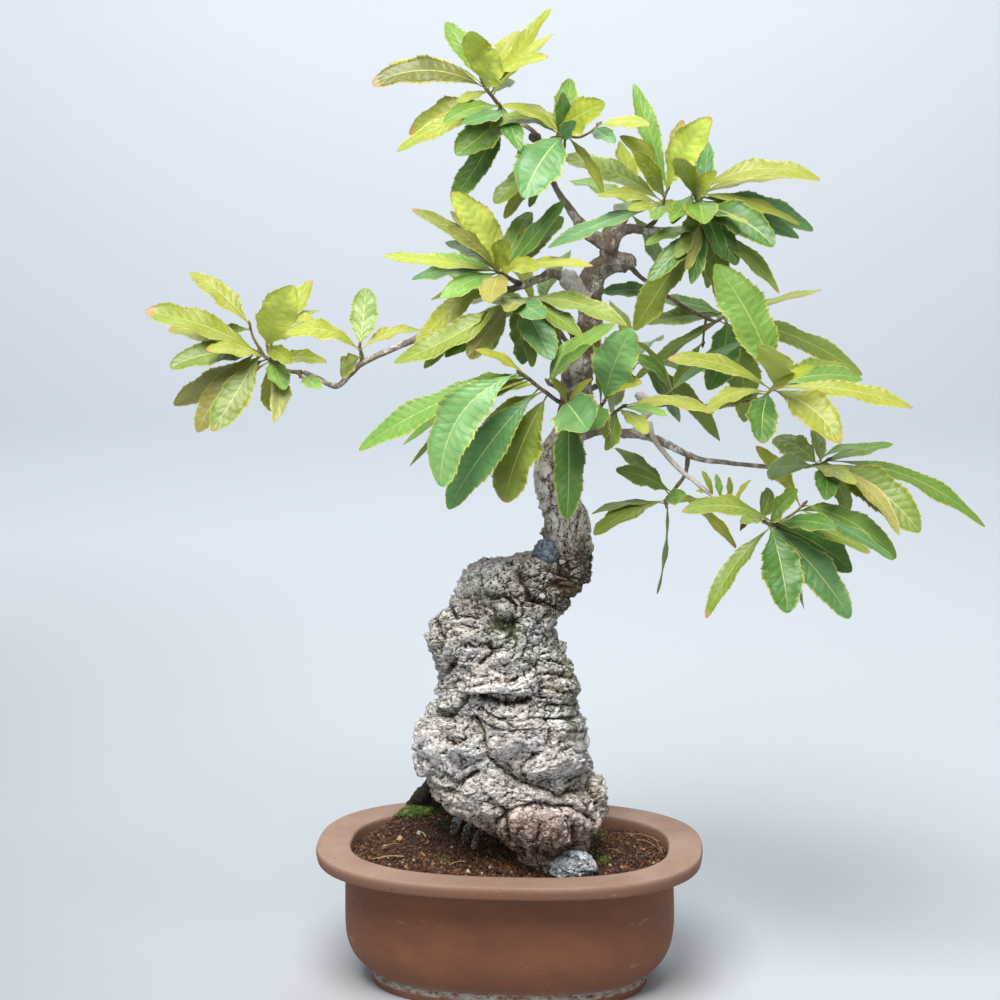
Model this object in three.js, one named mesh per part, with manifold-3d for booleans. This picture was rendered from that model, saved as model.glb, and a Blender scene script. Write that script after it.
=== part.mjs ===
// Chestnut-leaved oak bonsai in an oval clay pot. Millimetres, +Z up, +X to the right, front towards -Y.
// The origin is the middle of the pot's underside.
import * as THREE from 'three';
import Module from 'manifold-3d';
import { mergeVertices } from 'three/addons/utils/BufferGeometryUtils.js';

const wasm = await Module();
wasm.setup();

// Driving dimensions of the pot
const potHeight = 144;
const rimHalfLength = 198;
const rimHalfDepth = 140;
const rimWidth = 35;
const rimOverhang = 29;
const lipHeight = 13.5;
const lipRounding = 3;
const wallThickness = 7;
const footHalfLength = 142;
const footHalfDepth = 92;
const footHeight = 10;
const footWidth = 11;
const floorThickness = 12;
const bellyHeight = 59;
const ovalPower = 2.5;
const potYaw = THREE.MathUtils.degToRad(-4.5);
const potSides = 32;
const centrePadRadius = 26;
const drainHoleRadius = 9;
const drainHoleOffset = 82;
const drainNotchWidth = 11;

// Driving dimensions of the filling and of what touches it
const soilDepthBelowRim = 12;
const soilMound = 20;
const soilEdgeGap = 1.6;
const touchGap = 0.3;
const finestEdge = 0.2;
const meshRadius = 15;
const meshThickness = 1.2;
const trunkSinking = 24;

// The upright view plane that the plant is drawn on: it leans with the line of sight.
// A place is written [x, z, y]: x to the right and z up on that plane, y the depth behind it.
const sightPitch = THREE.MathUtils.degToRad(10.7);
const sightDistance = 2400;
const sightAim = new THREE.Vector3(-10, 0, 501);

// Leaf proportions
const leafThickness = 1.0;
const petioleWidth = 2.2;
const longLeaf = 92;

const sightForward = new THREE.Vector3(0, Math.cos(sightPitch), -Math.sin(sightPitch));
const sightUp = new THREE.Vector3(0, Math.sin(sightPitch), Math.cos(sightPitch));
const eye = sightAim.clone().addScaledVector(sightForward, -sightDistance);

// The point at depth y on the line of sight through (x, z) of the view plane
function place([x, z, y = 0]) {
  const onPlane = sightAim.clone().addScaledVector(sightUp, z - sightAim.z);
  onPlane.x = x;
  const reach = (y - eye.y) / (onPlane.y - eye.y);
  return eye.clone().lerp(onPlane, reach);
}

// Closed solid from a position-only geometry
function toManifold(geometry) {
  const bare = new THREE.BufferGeometry();
  bare.setAttribute('position', geometry.getAttribute('position').clone());
  if (geometry.index) bare.setIndex(geometry.index.clone());
  const merged = mergeVertices(bare, 1e-4);
  return new wasm.Manifold(new wasm.Mesh({
    numProp: 3,
    vertProperties: new Float32Array(merged.attributes.position.array),
    triVerts: new Uint32Array(merged.index.array),
  }));
}

function toGeometry(solid) {
  const result = solid.getMesh();
  const geometry = new THREE.BufferGeometry();
  geometry.setAttribute('position', new THREE.BufferAttribute(result.vertProperties, 3));
  geometry.setIndex(new THREE.BufferAttribute(result.triVerts, 1));
  return geometry;
}

// Closed skin over rings of equal length, with a fan to the middle of the first and the last ring
function skin(rings) {
  const count = rings[0].length;
  const middle = (ring) => ring.reduce((sum, p) => sum.add(p), new THREE.Vector3()).divideScalar(count);
  const points = [...rings.flat(), middle(rings[0]), middle(rings[rings.length - 1])];
  const faces = [];
  for (let i = 0; i < rings.length - 1; i++) {
    for (let j = 0; j < count; j++) {
      const a = i * count + j;
      const b = i * count + ((j + 1) % count);
      faces.push(a, b, b + count, a, b + count, a + count);
    }
  }
  const last = (rings.length - 1) * count;
  for (let j = 0; j < count; j++) {
    const next = (j + 1) % count;
    faces.push(rings.length * count, next, j);
    faces.push(rings.length * count + 1, last + j, last + next);
  }
  const geometry = new THREE.BufferGeometry();
  geometry.setAttribute('position', new THREE.Float32BufferAttribute(points.flatMap((p) => p.toArray()), 3));
  geometry.setIndex(faces);
  return geometry;
}

// Tapered round limb through points, its rings square to the way it grows; startWay fixes the first ring
function limb(points, radii, sides, startWay = null) {
  const rings = [];
  let side = new THREE.Vector3(0, 1, 0);
  points.forEach((p, i) => {
    const before = points[Math.max(i - 1, 0)];
    const after = points[Math.min(i + 1, points.length - 1)];
    const way = i === 0 && startWay ? startWay.clone() : after.clone().sub(before).normalize();
    if (i === 0 && Math.abs(way.y) > 0.9) side = new THREE.Vector3(1, 0, 0);
    side.addScaledVector(way, -side.dot(way)).normalize();
    const other = new THREE.Vector3().crossVectors(way, side);
    rings.push(Array.from({ length: sides }, (_, j) => {
      const turn = (2 * Math.PI * j) / sides;
      return p.clone().addScaledVector(side, radii[i] * Math.cos(turn))
        .addScaledVector(other, radii[i] * Math.sin(turn));
    }));
  });
  return skin(rings);
}

// Joined solid, with edges too short to matter at this size drawn together
function union(solids) {
  return solids.reduce((sum, solid) => sum.add(solid)).simplify(finestEdge);
}

// Pot: superellipse rings stacked up, the cavity, foot recess, drain holes and notches cut out
function ovalRing(halfLength, halfDepth, z, centre = [0, 0]) {
  const power = 2 / ovalPower;
  return Array.from({ length: potSides }, (_, j) => {
    const turn = (2 * Math.PI * j) / potSides;
    const x = centre[0] + halfLength * Math.sign(Math.cos(turn)) * Math.abs(Math.cos(turn)) ** power;
    const y = centre[1] + halfDepth * Math.sign(Math.sin(turn)) * Math.abs(Math.sin(turn)) ** power;
    return new THREE.Vector3(x, y, z).applyAxisAngle(new THREE.Vector3(0, 0, 1), potYaw);
  });
}

function upright(radius, low, high, [x, y], sides = 20) {
  return toManifold(new THREE.CylinderGeometry(radius, radius, high - low, sides)
    .rotateX(Math.PI / 2).translate(x, y, (low + high) / 2));
}

function drainPlaces() {
  return [-1, 1].map((end) => [
    end * drainHoleOffset * Math.cos(potYaw),
    end * drainHoleOffset * Math.sin(potYaw),
  ]);
}

const floorTop = footHeight + floorThickness;
const bodyHalfLength = rimHalfLength - rimOverhang;
const bodyHalfDepth = rimHalfDepth - rimOverhang;
const mouthHalfLength = rimHalfLength - rimWidth;
const mouthHalfDepth = rimHalfDepth - rimWidth;

// Inner faces of the pot as [half length, half depth, height], widened by clearance
function cavityRings(clearance, top) {
  return [
    [footHalfLength - 2, footHalfDepth - 2, floorTop],
    [footHalfLength + 8, footHalfDepth + 8, floorTop + 8],
    [bodyHalfLength - wallThickness - 1, bodyHalfDepth - wallThickness - 1, bellyHeight],
    [mouthHalfLength, mouthHalfDepth, top],
  ].map(([a, b, z], i) => ovalRing(a - clearance, b - clearance, i === 0 ? z + clearance : z));
}

function buildPot() {
  const under = potHeight - lipHeight;
  const body = toManifold(skin([
    ovalRing(footHalfLength, footHalfDepth, 0),
    ovalRing(footHalfLength, footHalfDepth, footHeight),
    ovalRing(footHalfLength + 9, footHalfDepth + 6, footHeight + 2),
    ovalRing(bodyHalfLength - 7, bodyHalfDepth - 6, footHeight + 17),
    ovalRing(bodyHalfLength - 2, bodyHalfDepth - 2, footHeight + 31),
    ovalRing(bodyHalfLength, bodyHalfDepth, bellyHeight),
    ovalRing(bodyHalfLength, bodyHalfDepth, under),
    ovalRing(rimHalfLength - lipRounding, rimHalfDepth - lipRounding, under),
    ovalRing(rimHalfLength, rimHalfDepth, under + lipRounding),
    ovalRing(rimHalfLength, rimHalfDepth, potHeight - lipRounding),
    ovalRing(rimHalfLength - lipRounding, rimHalfDepth - lipRounding, potHeight),
  ]));
  const cavity = toManifold(skin(cavityRings(0, potHeight + 1)));
  const recess = toManifold(skin([
    ovalRing(footHalfLength - footWidth, footHalfDepth - footWidth, -1),
    ovalRing(footHalfLength - footWidth, footHalfDepth - footWidth, footHeight),
  ])).subtract(upright(centrePadRadius, -2, footHeight + 1, [0, 0], 24));
  let pot = body.subtract(cavity).subtract(recess);
  drainPlaces().forEach((spot) => {
    pot = pot.subtract(upright(drainHoleRadius, footHeight - 1, floorTop + 1, spot, 16));
  });
  const notch = new THREE.BoxGeometry(drainNotchWidth, 2 * rimHalfDepth, footHeight);
  const notchAcross = toManifold(notch.translate(0, 0, footHeight * 0.1));
  return pot.subtract(notchAcross.subtract(upright(centrePadRadius + 4, -9, footHeight + 9, [0, 0], 24)));
}

// Soil: the cavity's rings up to its edge, then rings drawn in towards the trunk over a low mound
const soilEdge = potHeight - soilDepthBelowRim;
const moundCentre = [24, -18];
const baseCentre = [34, -42];
const baseHalf = [43, 39];
const rootCentre = [62, -88];
const rootHalf = [20, 10];

function soilRing(share) {
  const shift = moundCentre.map((c) => c * (1 - share));
  const rise = soilMound * (1 - share ** 1.6);
  const height = soilEdge + rise;
  const halfLength = (mouthHalfLength - soilEdgeGap) * share;
  const halfDepth = (mouthHalfDepth - soilEdgeGap) * share;
  return ovalRing(halfLength, halfDepth, height, shift);
}

function roundColumn([x, y], [halfX, halfY], low, high, grow = 0) {
  const column = new THREE.CylinderGeometry(1, 1, high - low, 20).rotateX(Math.PI / 2);
  return toManifold(column.scale(halfX + grow, halfY + grow, 1).translate(x, y, (low + high) / 2));
}

function buildSoil() {
  const filling = cavityRings(touchGap * 2, soilEdge).slice(0, 3);
  const mound = [1, 0.8, 0.55, 0.3].map(soilRing);
  let soil = toManifold(skin([...filling, ...mound]));
  soil = soil.subtract(roundColumn(baseCentre, baseHalf, trunkFoot - touchGap, potHeight * 2, touchGap));
  soil = soil.subtract(roundColumn(rootCentre, rootHalf, trunkFoot - touchGap, potHeight * 2, touchGap));
  drainPlaces().forEach((spot) => {
    soil = soil.subtract(upright(meshRadius + touchGap, 0, floorTop + meshThickness + 2 * touchGap, spot));
  });
  return soil;
}

// Trunk: level oval rings, read from the tree's outline as [z, left, right, depth of middle, half depth]
const trunkFoot = potHeight - soilDepthBelowRim - trunkSinking;
const trunkOutline = [
  [178, -30, 86, -42, 48], [195, -56, 100, -42, 59], [207, -76, 98, -41, 62],
  [219, -85, 93, -40, 65], [231, -87, 86, -39, 67], [239, -95, 81, -38, 68],
  [263, -95, 77, -35, 66], [287, -83, 71, -31, 60], [299, -70, 67, -30, 58],
  [311, -72, 70, -29, 58], [336, -73, 60, -26, 56], [350, -78, 52, -25, 56],
  [372, -81, 44, -21, 55], [396, -62, 59, -15, 50], [420, -49, 75, -9, 42],
  [433, -38, 81, -5, 36], [441, -8, 84, -3, 30], [449, 36, 86, -1, 25],
  [467, 32, 81, 0, 23], [481, 32, 78, 0, 22],
];
const trunkSides = 21;

// Corky blocks: two crossing waves round and up the trunk, in millimetres of bulge
function corkBulge(turn, z) {
  const blocks = Math.sin(3 * turn + z / 17) * Math.sin(z / 9.5 + 2 * turn + 1.3);
  const ridges = Math.sin(7 * turn - z / 12 + Math.sin(z / 23));
  return 4.2 * blocks + 2.2 * ridges;
}

function trunkRing([z, left, right, depth, halfDepth]) {
  const centre = place([(left + right) / 2, z, depth]);
  const halfWidth = (right - left) / 2 - 2;
  const fade = Math.min(1, (halfWidth - 20) / 30);
  return Array.from({ length: trunkSides }, (_, j) => {
    const turn = (2 * Math.PI * j) / trunkSides;
    const bulge = fade * corkBulge(turn, centre.z);
    return centre.clone().add(new THREE.Vector3(
      (halfWidth + bulge) * Math.cos(turn), (halfDepth + bulge) * Math.sin(turn), 0));
  });
}

function baseRing(z) {
  return Array.from({ length: trunkSides }, (_, j) => {
    const turn = (2 * Math.PI * j) / trunkSides;
    return new THREE.Vector3(baseCentre[0] + (baseHalf[0] - 1) * Math.cos(turn),
      baseCentre[1] + (baseHalf[1] - 1) * Math.sin(turn), z);
  });
}

// Limbs of the trunk: [x, z, depth, radius] from the trunk outwards
const limbs = {
  upperTrunk: [[56, 474, 0, 22], [50, 495, 0, 23], [45, 512, 0, 23], [43, 531, 0, 23],
    [50, 553, 0, 21.5], [62, 572, -2, 19], [67, 600, -4, 17], [67, 626, -5, 16.5],
    [74, 656, -6, 17], [81, 683, -7, 14],
    [79, 706, -7, 13.5], [85, 727, -7, 11.5], [102, 739, -7, 10.5], [118, 737, -8, 9.5], [124, 733, -9, 8.5]],
  paleStub: [[78, 706, -7, 10], [64, 716, -9, 9.5], [52, 729, -10, 10]],
  leader: [[100, 738, -7, 9], [97, 756, -8, 8], [82, 765, -10, 7], [72, 775, -12, 6.5], [62, 789, -14, 5],
    [53, 802, -15, 3.6], [43, 820, -18, 3.2], [36, 848, -21, 2.8], [24, 869, -24, 2.6], [-1, 883, -27, 2.4]],
  sideTop: [[34, 852, -22, 2.4], [42, 862, -30, 2.3], [52, 863, -38, 2.2]],
  greyKnob: [[28, 864, -24, 3], [23, 864, -30, 5], [21, 864, -34, 4]],
  rightArm: [[97, 752, -8, 8], [108, 768, -10, 7], [122, 772, -12, 5.5], [140, 770, -14, 5],
    [160, 771, -18, 3.6], [178, 775, -24, 3], [190, 784, -30, 2.6]],
  greyStub: [[110, 768, -10, 4], [108, 782, -12, 3.8], [106, 797, -14, 3.4]],
  rightTwig: [[134, 771, -13, 2.6], [145, 780, -18, 2.3], [151, 791, -22, 2.1]],
  brownTwig: [[120, 735, -6, 3], [132, 723, 4, 2.4], [152, 709, 24, 2.3], [176, 693, 44, 2.3],
    [192, 685, 56, 2.3]],
  leftArm: [[66, 716, -8, 7], [46, 727, -12, 5.5], [28, 722, -20, 4.6], [4, 713, -26, 4.2], [-32, 706, -30, 4],
    [-50, 699, -30, 3.9], [-72, 682, -28, 3.8], [-93, 663, -25, 3.8], [-120, 651, -22, 3.6],
    [-148, 638, -20, 3.6], [-160, 627, -18, 3.4], [-174, 615, -16, 3.2], [-192, 623, -14, 2.8],
    [-208, 629, -13, 2.6]],
  leftShoot: [[-148, 639, -20, 2.4], [-148, 645, -23, 2], [-149, 649, -26, 1.9]],
  middleTwig: [[70, 662, -10, 6], [55, 678, -22, 5], [38, 689, -34, 3.6], [18, 699, -44, 2.8]],
  centreTwig: [[12, 716, -24, 3], [0, 722, -38, 2.6], [-8, 727, -48, 2.4]],
  longArm: [[60, 566, -4, 9], [88, 572, -8, 7], [110, 568, -12, 5.6], [130, 567, -16, 5.4],
    [150, 560, -18, 4.6], [176, 547, -20, 3.6], [194, 541, -22, 3], [214, 539, -23, 2.8], [257, 534, -26, 2.6], [287, 534, -28, 2.5],
    [302, 535, -29, 2.4]],
  palePeg: [[126, 567, -16, 5], [134, 584, -18, 4.6], [142, 596, -20, 6], [126, 607, -22, 5.6]],
  lowArm: [[138, 578, -19, 3.4], [144, 562, -28, 3], [157, 545, -34, 2.8], [173, 529, -40, 2.6],
    [203, 505, -50, 2.5], [220, 497, -56, 2.4], [240, 486, -62, 2.4], [252, 480, -66, 2.4]],
  midArm: [[142, 596, -20, 3], [165, 597, -30, 2.4], [184, 594, -40, 2.2], [213, 598, -50, 2.2],
    [250, 602, -58, 2.2], [258, 608, -60, 2.1]],
  hangTwig: [[178, 545, -21, 2.4], [175, 526, -18, 2.1], [163, 510, -17, 2.1], [156, 502, -17, 2]],
  smallTwig: [[144, 600, -18, 2.2], [150, 604, -4, 2], [156, 606, 4, 1.9]],
  frontArm: [[68, 590, -16, 6], [64, 593, -40, 4.2], [60, 592, -62, 3.2]],
  frontLeft: [[64, 594, -40, 2.8], [46, 601, -68, 2.4], [30, 613, -90, 2.2], [20, 621, -100, 2.2]],
  frontTwig: [[64, 594, -41, 2.6], [53, 608, -68, 2.3], [42, 616, -86, 2.2]],
  midRight: [[72, 584, -14, 3.4], [84, 590, -40, 2.6], [92, 596, -62, 2.4]],
  smallRight: [[80, 574, -14, 3.6], [98, 583, -34, 2.4], [108, 591, -44, 2.2]],
  backLeft: [[70, 640, 10, 4], [50, 668, 50, 3], [30, 688, 84, 2.6]],
  backRight: [[66, 604, 12, 4], [100, 622, 56, 3], [124, 636, 92, 2.6]],
  backTop: [[102, 742, 2, 4], [110, 768, 40, 2.8], [118, 786, 70, 2.4]],
};
const limbSides = 4;
const stoutLimbSides = 8;
const stoutRadius = 5.5;

function limbEnd(name) {
  const path = limbs[name].map(place);
  const end = path[path.length - 1];
  const way = end.clone().sub(path[path.length - 2]).normalize();
  return { end, way, radius: limbs[name][limbs[name].length - 1][3] };
}

function buildLimb(rows) {
  const radii = rows.map((row) => row[3]);
  const sides = Math.max(...radii) > stoutRadius ? stoutLimbSides : limbSides;
  return toManifold(limb(rows.map(place), radii, sides));
}

// The pruned stub at the left of the neck, and the lump of paste that seals it
const stubMiddle = [58, 452, 0];
const stubWay = new THREE.Vector3(-0.66, -0.75, 0.05).normalize();
const stubReach = 33;
const stubRadius = 14;
const pasteHeight = 12;

function stubPoint(reach) {
  return place(stubMiddle).addScaledVector(stubWay, reach);
}

function buildTrunk() {
  const base = [baseRing(trunkFoot), baseRing(potHeight + 6)];
  const block = toManifold(skin([...base, ...trunkOutline.map(trunkRing)]));
  const root = toManifold(new THREE.SphereGeometry(1, 14, 8).rotateX(Math.PI / 2)
    .scale(rootHalf[0], rootHalf[1], 15).translate(...rootCentre, potHeight + 4));
  const rootNeck = roundColumn(rootCentre, rootHalf.map((half) => half - 1), trunkFoot, potHeight + 3);
  const bridge = toManifold(limb([new THREE.Vector3(54, -60, potHeight + 20),
    new THREE.Vector3(61, -86, potHeight + 6)], [14, 8], limbSides));
  const stub = toManifold(limb([stubPoint(0), stubPoint(stubReach)], [17, stubRadius], 12, stubWay));
  const wood = union([block, root, rootNeck, bridge, stub, ...Object.values(limbs).map(buildLimb)]);
  return wood.subtract(buildCutPaste(touchGap));
}

// Dome of paste on the stub's end; grown by a clearance, it is what the wood is cut back by
function buildCutPaste(clearance = 0) {
  const steps = [0, 0.35, 0.65, 0.88, 0.98];
  const low = stubReach + touchGap - clearance;
  const points = steps.map((share) => stubPoint(low + (pasteHeight + 2 * clearance) * share));
  const radii = steps.map((share) => (stubRadius - 0.4 + clearance) * Math.sqrt(1 - share ** 2));
  return toManifold(limb(points, radii, 12, stubWay));
}

// Sprays. Each grows from the end of a limb. A twig is its path [x, z, depth, radius] and its leaves.
// A leaf is [tip x, tip z, depth of the tip behind the twig's end, width, turn, bow, sway, tone]:
// turn is 0 with the upper face to the front, 90 on edge with it on top, 180 with the underside in front;
// bow lifts the middle towards the upper face and sway bends it sideways, as shares of the length.
const sprays = {
  spray_far_left: { limb: 'leftArm', twigs: [
    { path: [[-225, 631, -13, 2.2], [-246, 645, -14, 1.9], [-255, 650, -15, 1.7]], leaves: [
      [-364, 689, -30, 31, 40, 0.06, 0.02, 'y'], [-341, 672, 24, 26, 45, 0.08, 0.02, 'y'],
      [-340, 634, -36, 26, 30, 0.08, 0.05, 'o'], [-304, 651, -48, 22, 55, 0.06, 0, 'l'],
      [-336, 596, 20, 26, 150, 0.05, 0, 'l'], [-312, 585, -10, 18, 140, 0.06, 0, 'y'],
      [-313, 569, -26, 27, 25, 0.05, 0.03, 'k'], [-298, 570, -50, 28, 20, 0.05, -0.03, 'o']] },
    { path: [[-246, 645, -14, 1.7], [-256, 662, -20, 1.5], [-260, 676, -24, 1.3]], leaves: [
      [-320, 728, 20, 22, 40, 0.06, 0.03, 'y']] },
    { path: [[-228, 633, -13, 2.0], [-241, 647, -4, 1.6], [-243, 655, 0, 1.4]], leaves: [
      [-217, 716, -58, 36, 8, 0.08, 0.02, 'y'], [-198, 721, 30, 24, 35, 0.06, 0, 'y'],
      [-236, 579, -40, 20, 160, 0.05, -0.1, 'k'], [-232, 588, 28, 24, 20, 0.05, -0.06, 'l'],
      [-226, 611, -34, 22, 30, 0.05, -0.05, 'd'], [-183, 639, 26, 18, 45, 0.06, 0.04, 'y'],
      [-218, 638, -46, 16, 20, 0.05, 0, 'g']] },
    { path: [[-228, 634, -13, 1.8], [-239, 656, -10, 1.4], [-226, 677, -8, 1.2]], leaves: [
      [-193, 672, -24, 15, 60, 0.14, 0.12, 'y'], [-190, 690, 40, 16, 60, 0.08, 0.02, 'y']] },
    { path: [[-214, 629, -13, 2.0], [-208, 624, -20, 1.5]], leaves: [[-190, 612, -34, 16, 30, 0.05, 0, 'g']] },
  ] },
  spray_left_shoot: { limb: 'leftShoot', twigs: [
    { path: [[-150, 651, -27, 1.7], [-150, 655, -28, 1.5]], leaves: [
      [-144, 713, 26, 25, 172, 0.04, 0, 'l'], [-87, 670, 40, 18, 62, 0.1, 0.03, 'y'],
      [-225, 667, -34, 24, 50, 0.14, 0.08, 'y'], [-170, 628, -46, 20, 150, 0.06, 0, 'y']] },
  ] },
  spray_top: { limb: 'leader', twigs: [
    { path: [[-16, 902, -30, 2.1], [-24, 912, -32, 1.8], [-28, 920, -33, 1.6]], leaves: [
      [-64, 979, 36, 22, 20, 0.06, 0, 'l'], [-39, 970, -50, 24, 165, 0.05, 0, 'k'],
      [-12, 951, -46, 30, 30, 0.06, 0, 'y'], [8, 970, 50, 22, 40, 0.06, 0.02, 'y'],
      [41, 992, -10, 19, 50, 0.05, -0.02, 'y'], [44, 967, 44, 16, 55, 0.06, 0.03, 'y'],
      [38, 944, -40, 18, 55, 0.06, 0.02, 'y'], [-121, 937, 36, 18, 65, 0.08, 0.08, 'y'],
      [-138, 917, -26, 27, 35, 0.09, 0.1, 'o']] },
    { path: [[-5, 886, -28, 2.0], [-8, 892, -36, 1.7], [-10, 896, -42, 1.5]], leaves: [
      [-101, 867, 10, 27, 30, 0.08, 0.06, 'y'], [-66, 878, -50, 21, 45, 0.08, 0.03, 'g'],
      [-113, 850, -22, 20, 55, 0.06, 0.02, 'y'], [-48, 877, -76, 16, 45, 0.05, -0.05, 'b'],
      [-54, 846, -36, 33, 25, 0.06, -0.06, 'g'], [-58, 801, 4, 24, 20, 0.05, -0.06, 'd'],
      [-30, 838, 44, 20, 30, 0.05, 0, 'o'], [10, 850, -40, 18, 20, 0.05, 0, 'd']] },
  ] },
  spray_top_right: { limb: 'sideTop', twigs: [
    { path: [[54, 864, -41, 2.0], [56, 867, -44, 1.8]], leaves: [
      [13, 803, -58, 42, 12, 0.08, 0.04, 'b'], [-8, 895, -34, 16, 60, 0.06, 0.05, 'y'],
      [-20, 875, -24, 17, 55, 0.12, 0.12, 'o'],
      [52, 909, -20, 16, 30, 0.05, 0, 'b'], [61, 922, 44, 22, 20, 0.05, 0, 'l'],
      [95, 898, -50, 30, 30, 0.06, 0.02, 'y'], [94, 804, -20, 14, 50, 0.05, 0.05, 'y']] },
    { path: [[54, 864, -41, 1.8], [62, 864, -46, 1.7], [70, 864, -46, 1.6], [80, 869, -46, 1.4],
      [88, 876, -45, 1.2]], leaves: [
      [140, 876, -20, 17, 50, 0.06, 0.04, 'y'], [105, 858, -46, 16, 35, 0.06, -0.04, 'b']] },
    { path: [[55, 865, -42, 1.7], [54, 846, -34, 1.4]], leaves: [
      [-16, 798, -22, 24, 35, 0.06, 0, 'o'], [19, 794, 24, 14, 40, 0.05, 0, 'o']] },
  ] },
  spray_right_twig: { limb: 'rightTwig', twigs: [
    { path: [[153, 797, -23, 1.9], [155, 806, -25, 1.7], [158, 813, -26, 1.6]], leaves: [
      [124, 917, 10, 20, 25, 0.05, -0.02, 'l'], [202, 883, -60, 30, 30, 0.06, 0.03, 'y'],
      [110, 865, -20, 22, 45, 0.06, 0.1, 'y'], [124, 849, -62, 18, 40, 0.06, 0, 'y'],
      [53, 844, 14, 29, 50, 0.05, 0.03, 'o'], [88, 805, -44, 16, 60, 0.06, 0.04, 'y']] },
    { path: [[152, 795, -23, 1.6], [149, 795, -32, 1.4]], leaves: [
      [38, 753, -44, 21, 50, 0.06, -0.02, 'b']] },
  ] },
  spray_upper_right: { limb: 'rightArm', twigs: [
    { path: [[190, 788, -32, 2.3], [187, 800, -38, 2.0], [184, 808, -42, 1.8]], leaves: [
      [310, 821, -20, 22, 45, 0.1, 0.1, 'y'], [283, 823, 34, 17, 62, 0.06, 0.03, 'y'],
      [166, 843, -64, 20, 150, 0.06, 0, 'y'], [207, 829, -60, 16, 50, 0.08, 0, 'y'],
      [264, 755, -44, 30, 30, 0.06, 0.06, 'd'], [243, 784, 20, 24, 45, 0.06, 0.05, 'o'],
      [290, 776, 6, 17, 60, 0.06, 0.03, 'y'], [303, 771, 50, 24, 30, 0.06, 0.03, 'b'],
      [289, 763, 30, 20, 30, 0.05, 0.02, 'b'], [194, 777, -74, 29, 15, 0.08, 0, 'g'],
      [162, 779, -56, 17, 60, 0.06, 0.03, 'g']] },
    { path: [[190, 790, -33, 2.0], [193, 781, -40, 1.8], [191, 772, -44, 1.6]], leaves: [
      [136, 756, -26, 16, 60, 0.06, 0.03, 'g'],
      [138, 720, -34, 20, 22, 0.05, -0.03, 'd'],
      [181, 717, -46, 17, 20, 0.05, 0, 'd'], [210, 701, 4, 27, 30, 0.05, 0.03, 'o'],
      [198, 713, 36, 17, 40, 0.05, 0, 'o'], [227, 736, -16, 22, 20, 0.05, 0.03, 'd'],
      [269, 708, -18, 20, 50, 0.06, 0.05, 'o'],
      [124, 671, 26, 36, 40, 0.05, -0.04, 'o']] },
  ] },
  spray_behind_right: { limb: 'brownTwig', twigs: [
    { path: [[205, 680, 62, 2.1], [214, 684, 64, 1.8], [224, 688, 66, 1.5]], leaves: [
      [133, 679, 30, 24, 50, 0.06, -0.04, 'o'], [125, 621, 10, 18, 50, 0.04, 0, 'o'],
      [198, 611, -30, 34, 25, 0.06, 0.05, 'd'], [235, 579, 20, 34, 30, 0.05, 0.04, 'o'],
      [312, 711, 34, 15, 65, 0.05, -0.06, 'y'], [205, 689, 70, 26, 30, 0.05, 0.02, 'o'],
      [237, 653, 50, 11, 60, 0.05, 0, 'o'], [240, 668, -24, 16, 20, 0.05, 0, 'b'],
      [147, 702, 12, 20, 50, 0.05, 0, 'd']] },
    { path: [[196, 682, 58, 1.6], [194, 668, 60, 1.4], [193, 658, 61, 1.2]], leaves: [
      [165, 613, -20, 18, 40, 0.05, 0, 'o']] },
  ] },
  spray_right: { limb: 'midArm', twigs: [
    { path: [[263, 613, -61, 1.9], [267, 617, -62, 1.8]], leaves: [
      [205, 737, -6, 40, 12, 0.06, 0.04, 'l'], [262, 654, -66, 40, 150, 0.05, 0, 'k'],
      [158, 642, -10, 21, 48, 0.08, 0.05, 'y'], [196, 588, -34, 19, 55, 0.1, 0.08, 'y'],
      [208, 592, -14, 20, 45, 0.1, 0.08, 'y'], [304, 634, -56, 15, 50, 0.05, 0.02, 'y'],
      [352, 622, 30, 23, 42, 0.06, 0.04, 'l'], [403, 593, -26, 21, 45, 0.05, 0.03, 'y'],
      [331, 558, -50, 32, 25, 0.07, 0.08, 'y'], [252, 558, -62, 28, 12, 0.06, -0.05, 'd'],
      [338, 634, 52, 28, 40, 0.05, 0.04, 'o']] },
  ] },
  spray_far_right: { limb: 'longArm', twigs: [
    { path: [[312, 537, -30, 2.0], [318, 541, -31, 1.8]], leaves: [
      [475, 474, -16, 24, 48, 0.07, 0.07, 'g'], [410, 469, -56, 36, 20, 0.06, 0.06, 'o'],
      [389, 466, -90, 20, 50, 0.08, 0.06, 'k'], [383, 557, 40, 17, 45, 0.05, 0, 'g'],
      [359, 551, -24, 12, 65, 0.12, 0.1, 'l'], [346, 517, -66, 18, 45, 0.05, 0.02, 'y'],
      [316, 501, -54, 22, 10, 0.05, 0, 'd'], [339, 489, 26, 18, 30, 0.05, 0.02, 'o'],
      [304, 573, 44, 15, 30, 0.05, 0, 'o'], [264, 563, 34, 27, 40, 0.06, 0.06, 'o'],
      [257, 530, -92, 25, 150, 0.05, 0, 'l']] },
  ] },
  spray_lower_right: { limb: 'lowArm', twigs: [
    { path: [[262, 476, -68, 2.2], [268, 476, -69, 2.0]], leaves: [
      [172, 489, -26, 23, 45, 0.07, 0.1, 'o'], [196, 383, -30, 20, 35, 0.05, 0.04, 'o'],
      [278, 388, -54, 37, 10, 0.05, 0.02, 'b'],
      [340, 383, -36, 33, 22, 0.05, 0.03, 'b'], [342, 430, 10, 34, 25, 0.06, 0.04, 'd'],
      [360, 448, -44, 18, 50, 0.06, 0.04, 'o'], [327, 473, -62, 19, 40, 0.06, 0.03, 'd'],
      [349, 466, 30, 18, 50, 0.06, 0.04, 'y'], [288, 511, -58, 20, 40, 0.05, 0, 'g']] },
    { path: [[266, 477, -69, 1.8], [284, 488, -62, 1.6], [294, 497, -58, 1.4]], leaves: [
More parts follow.
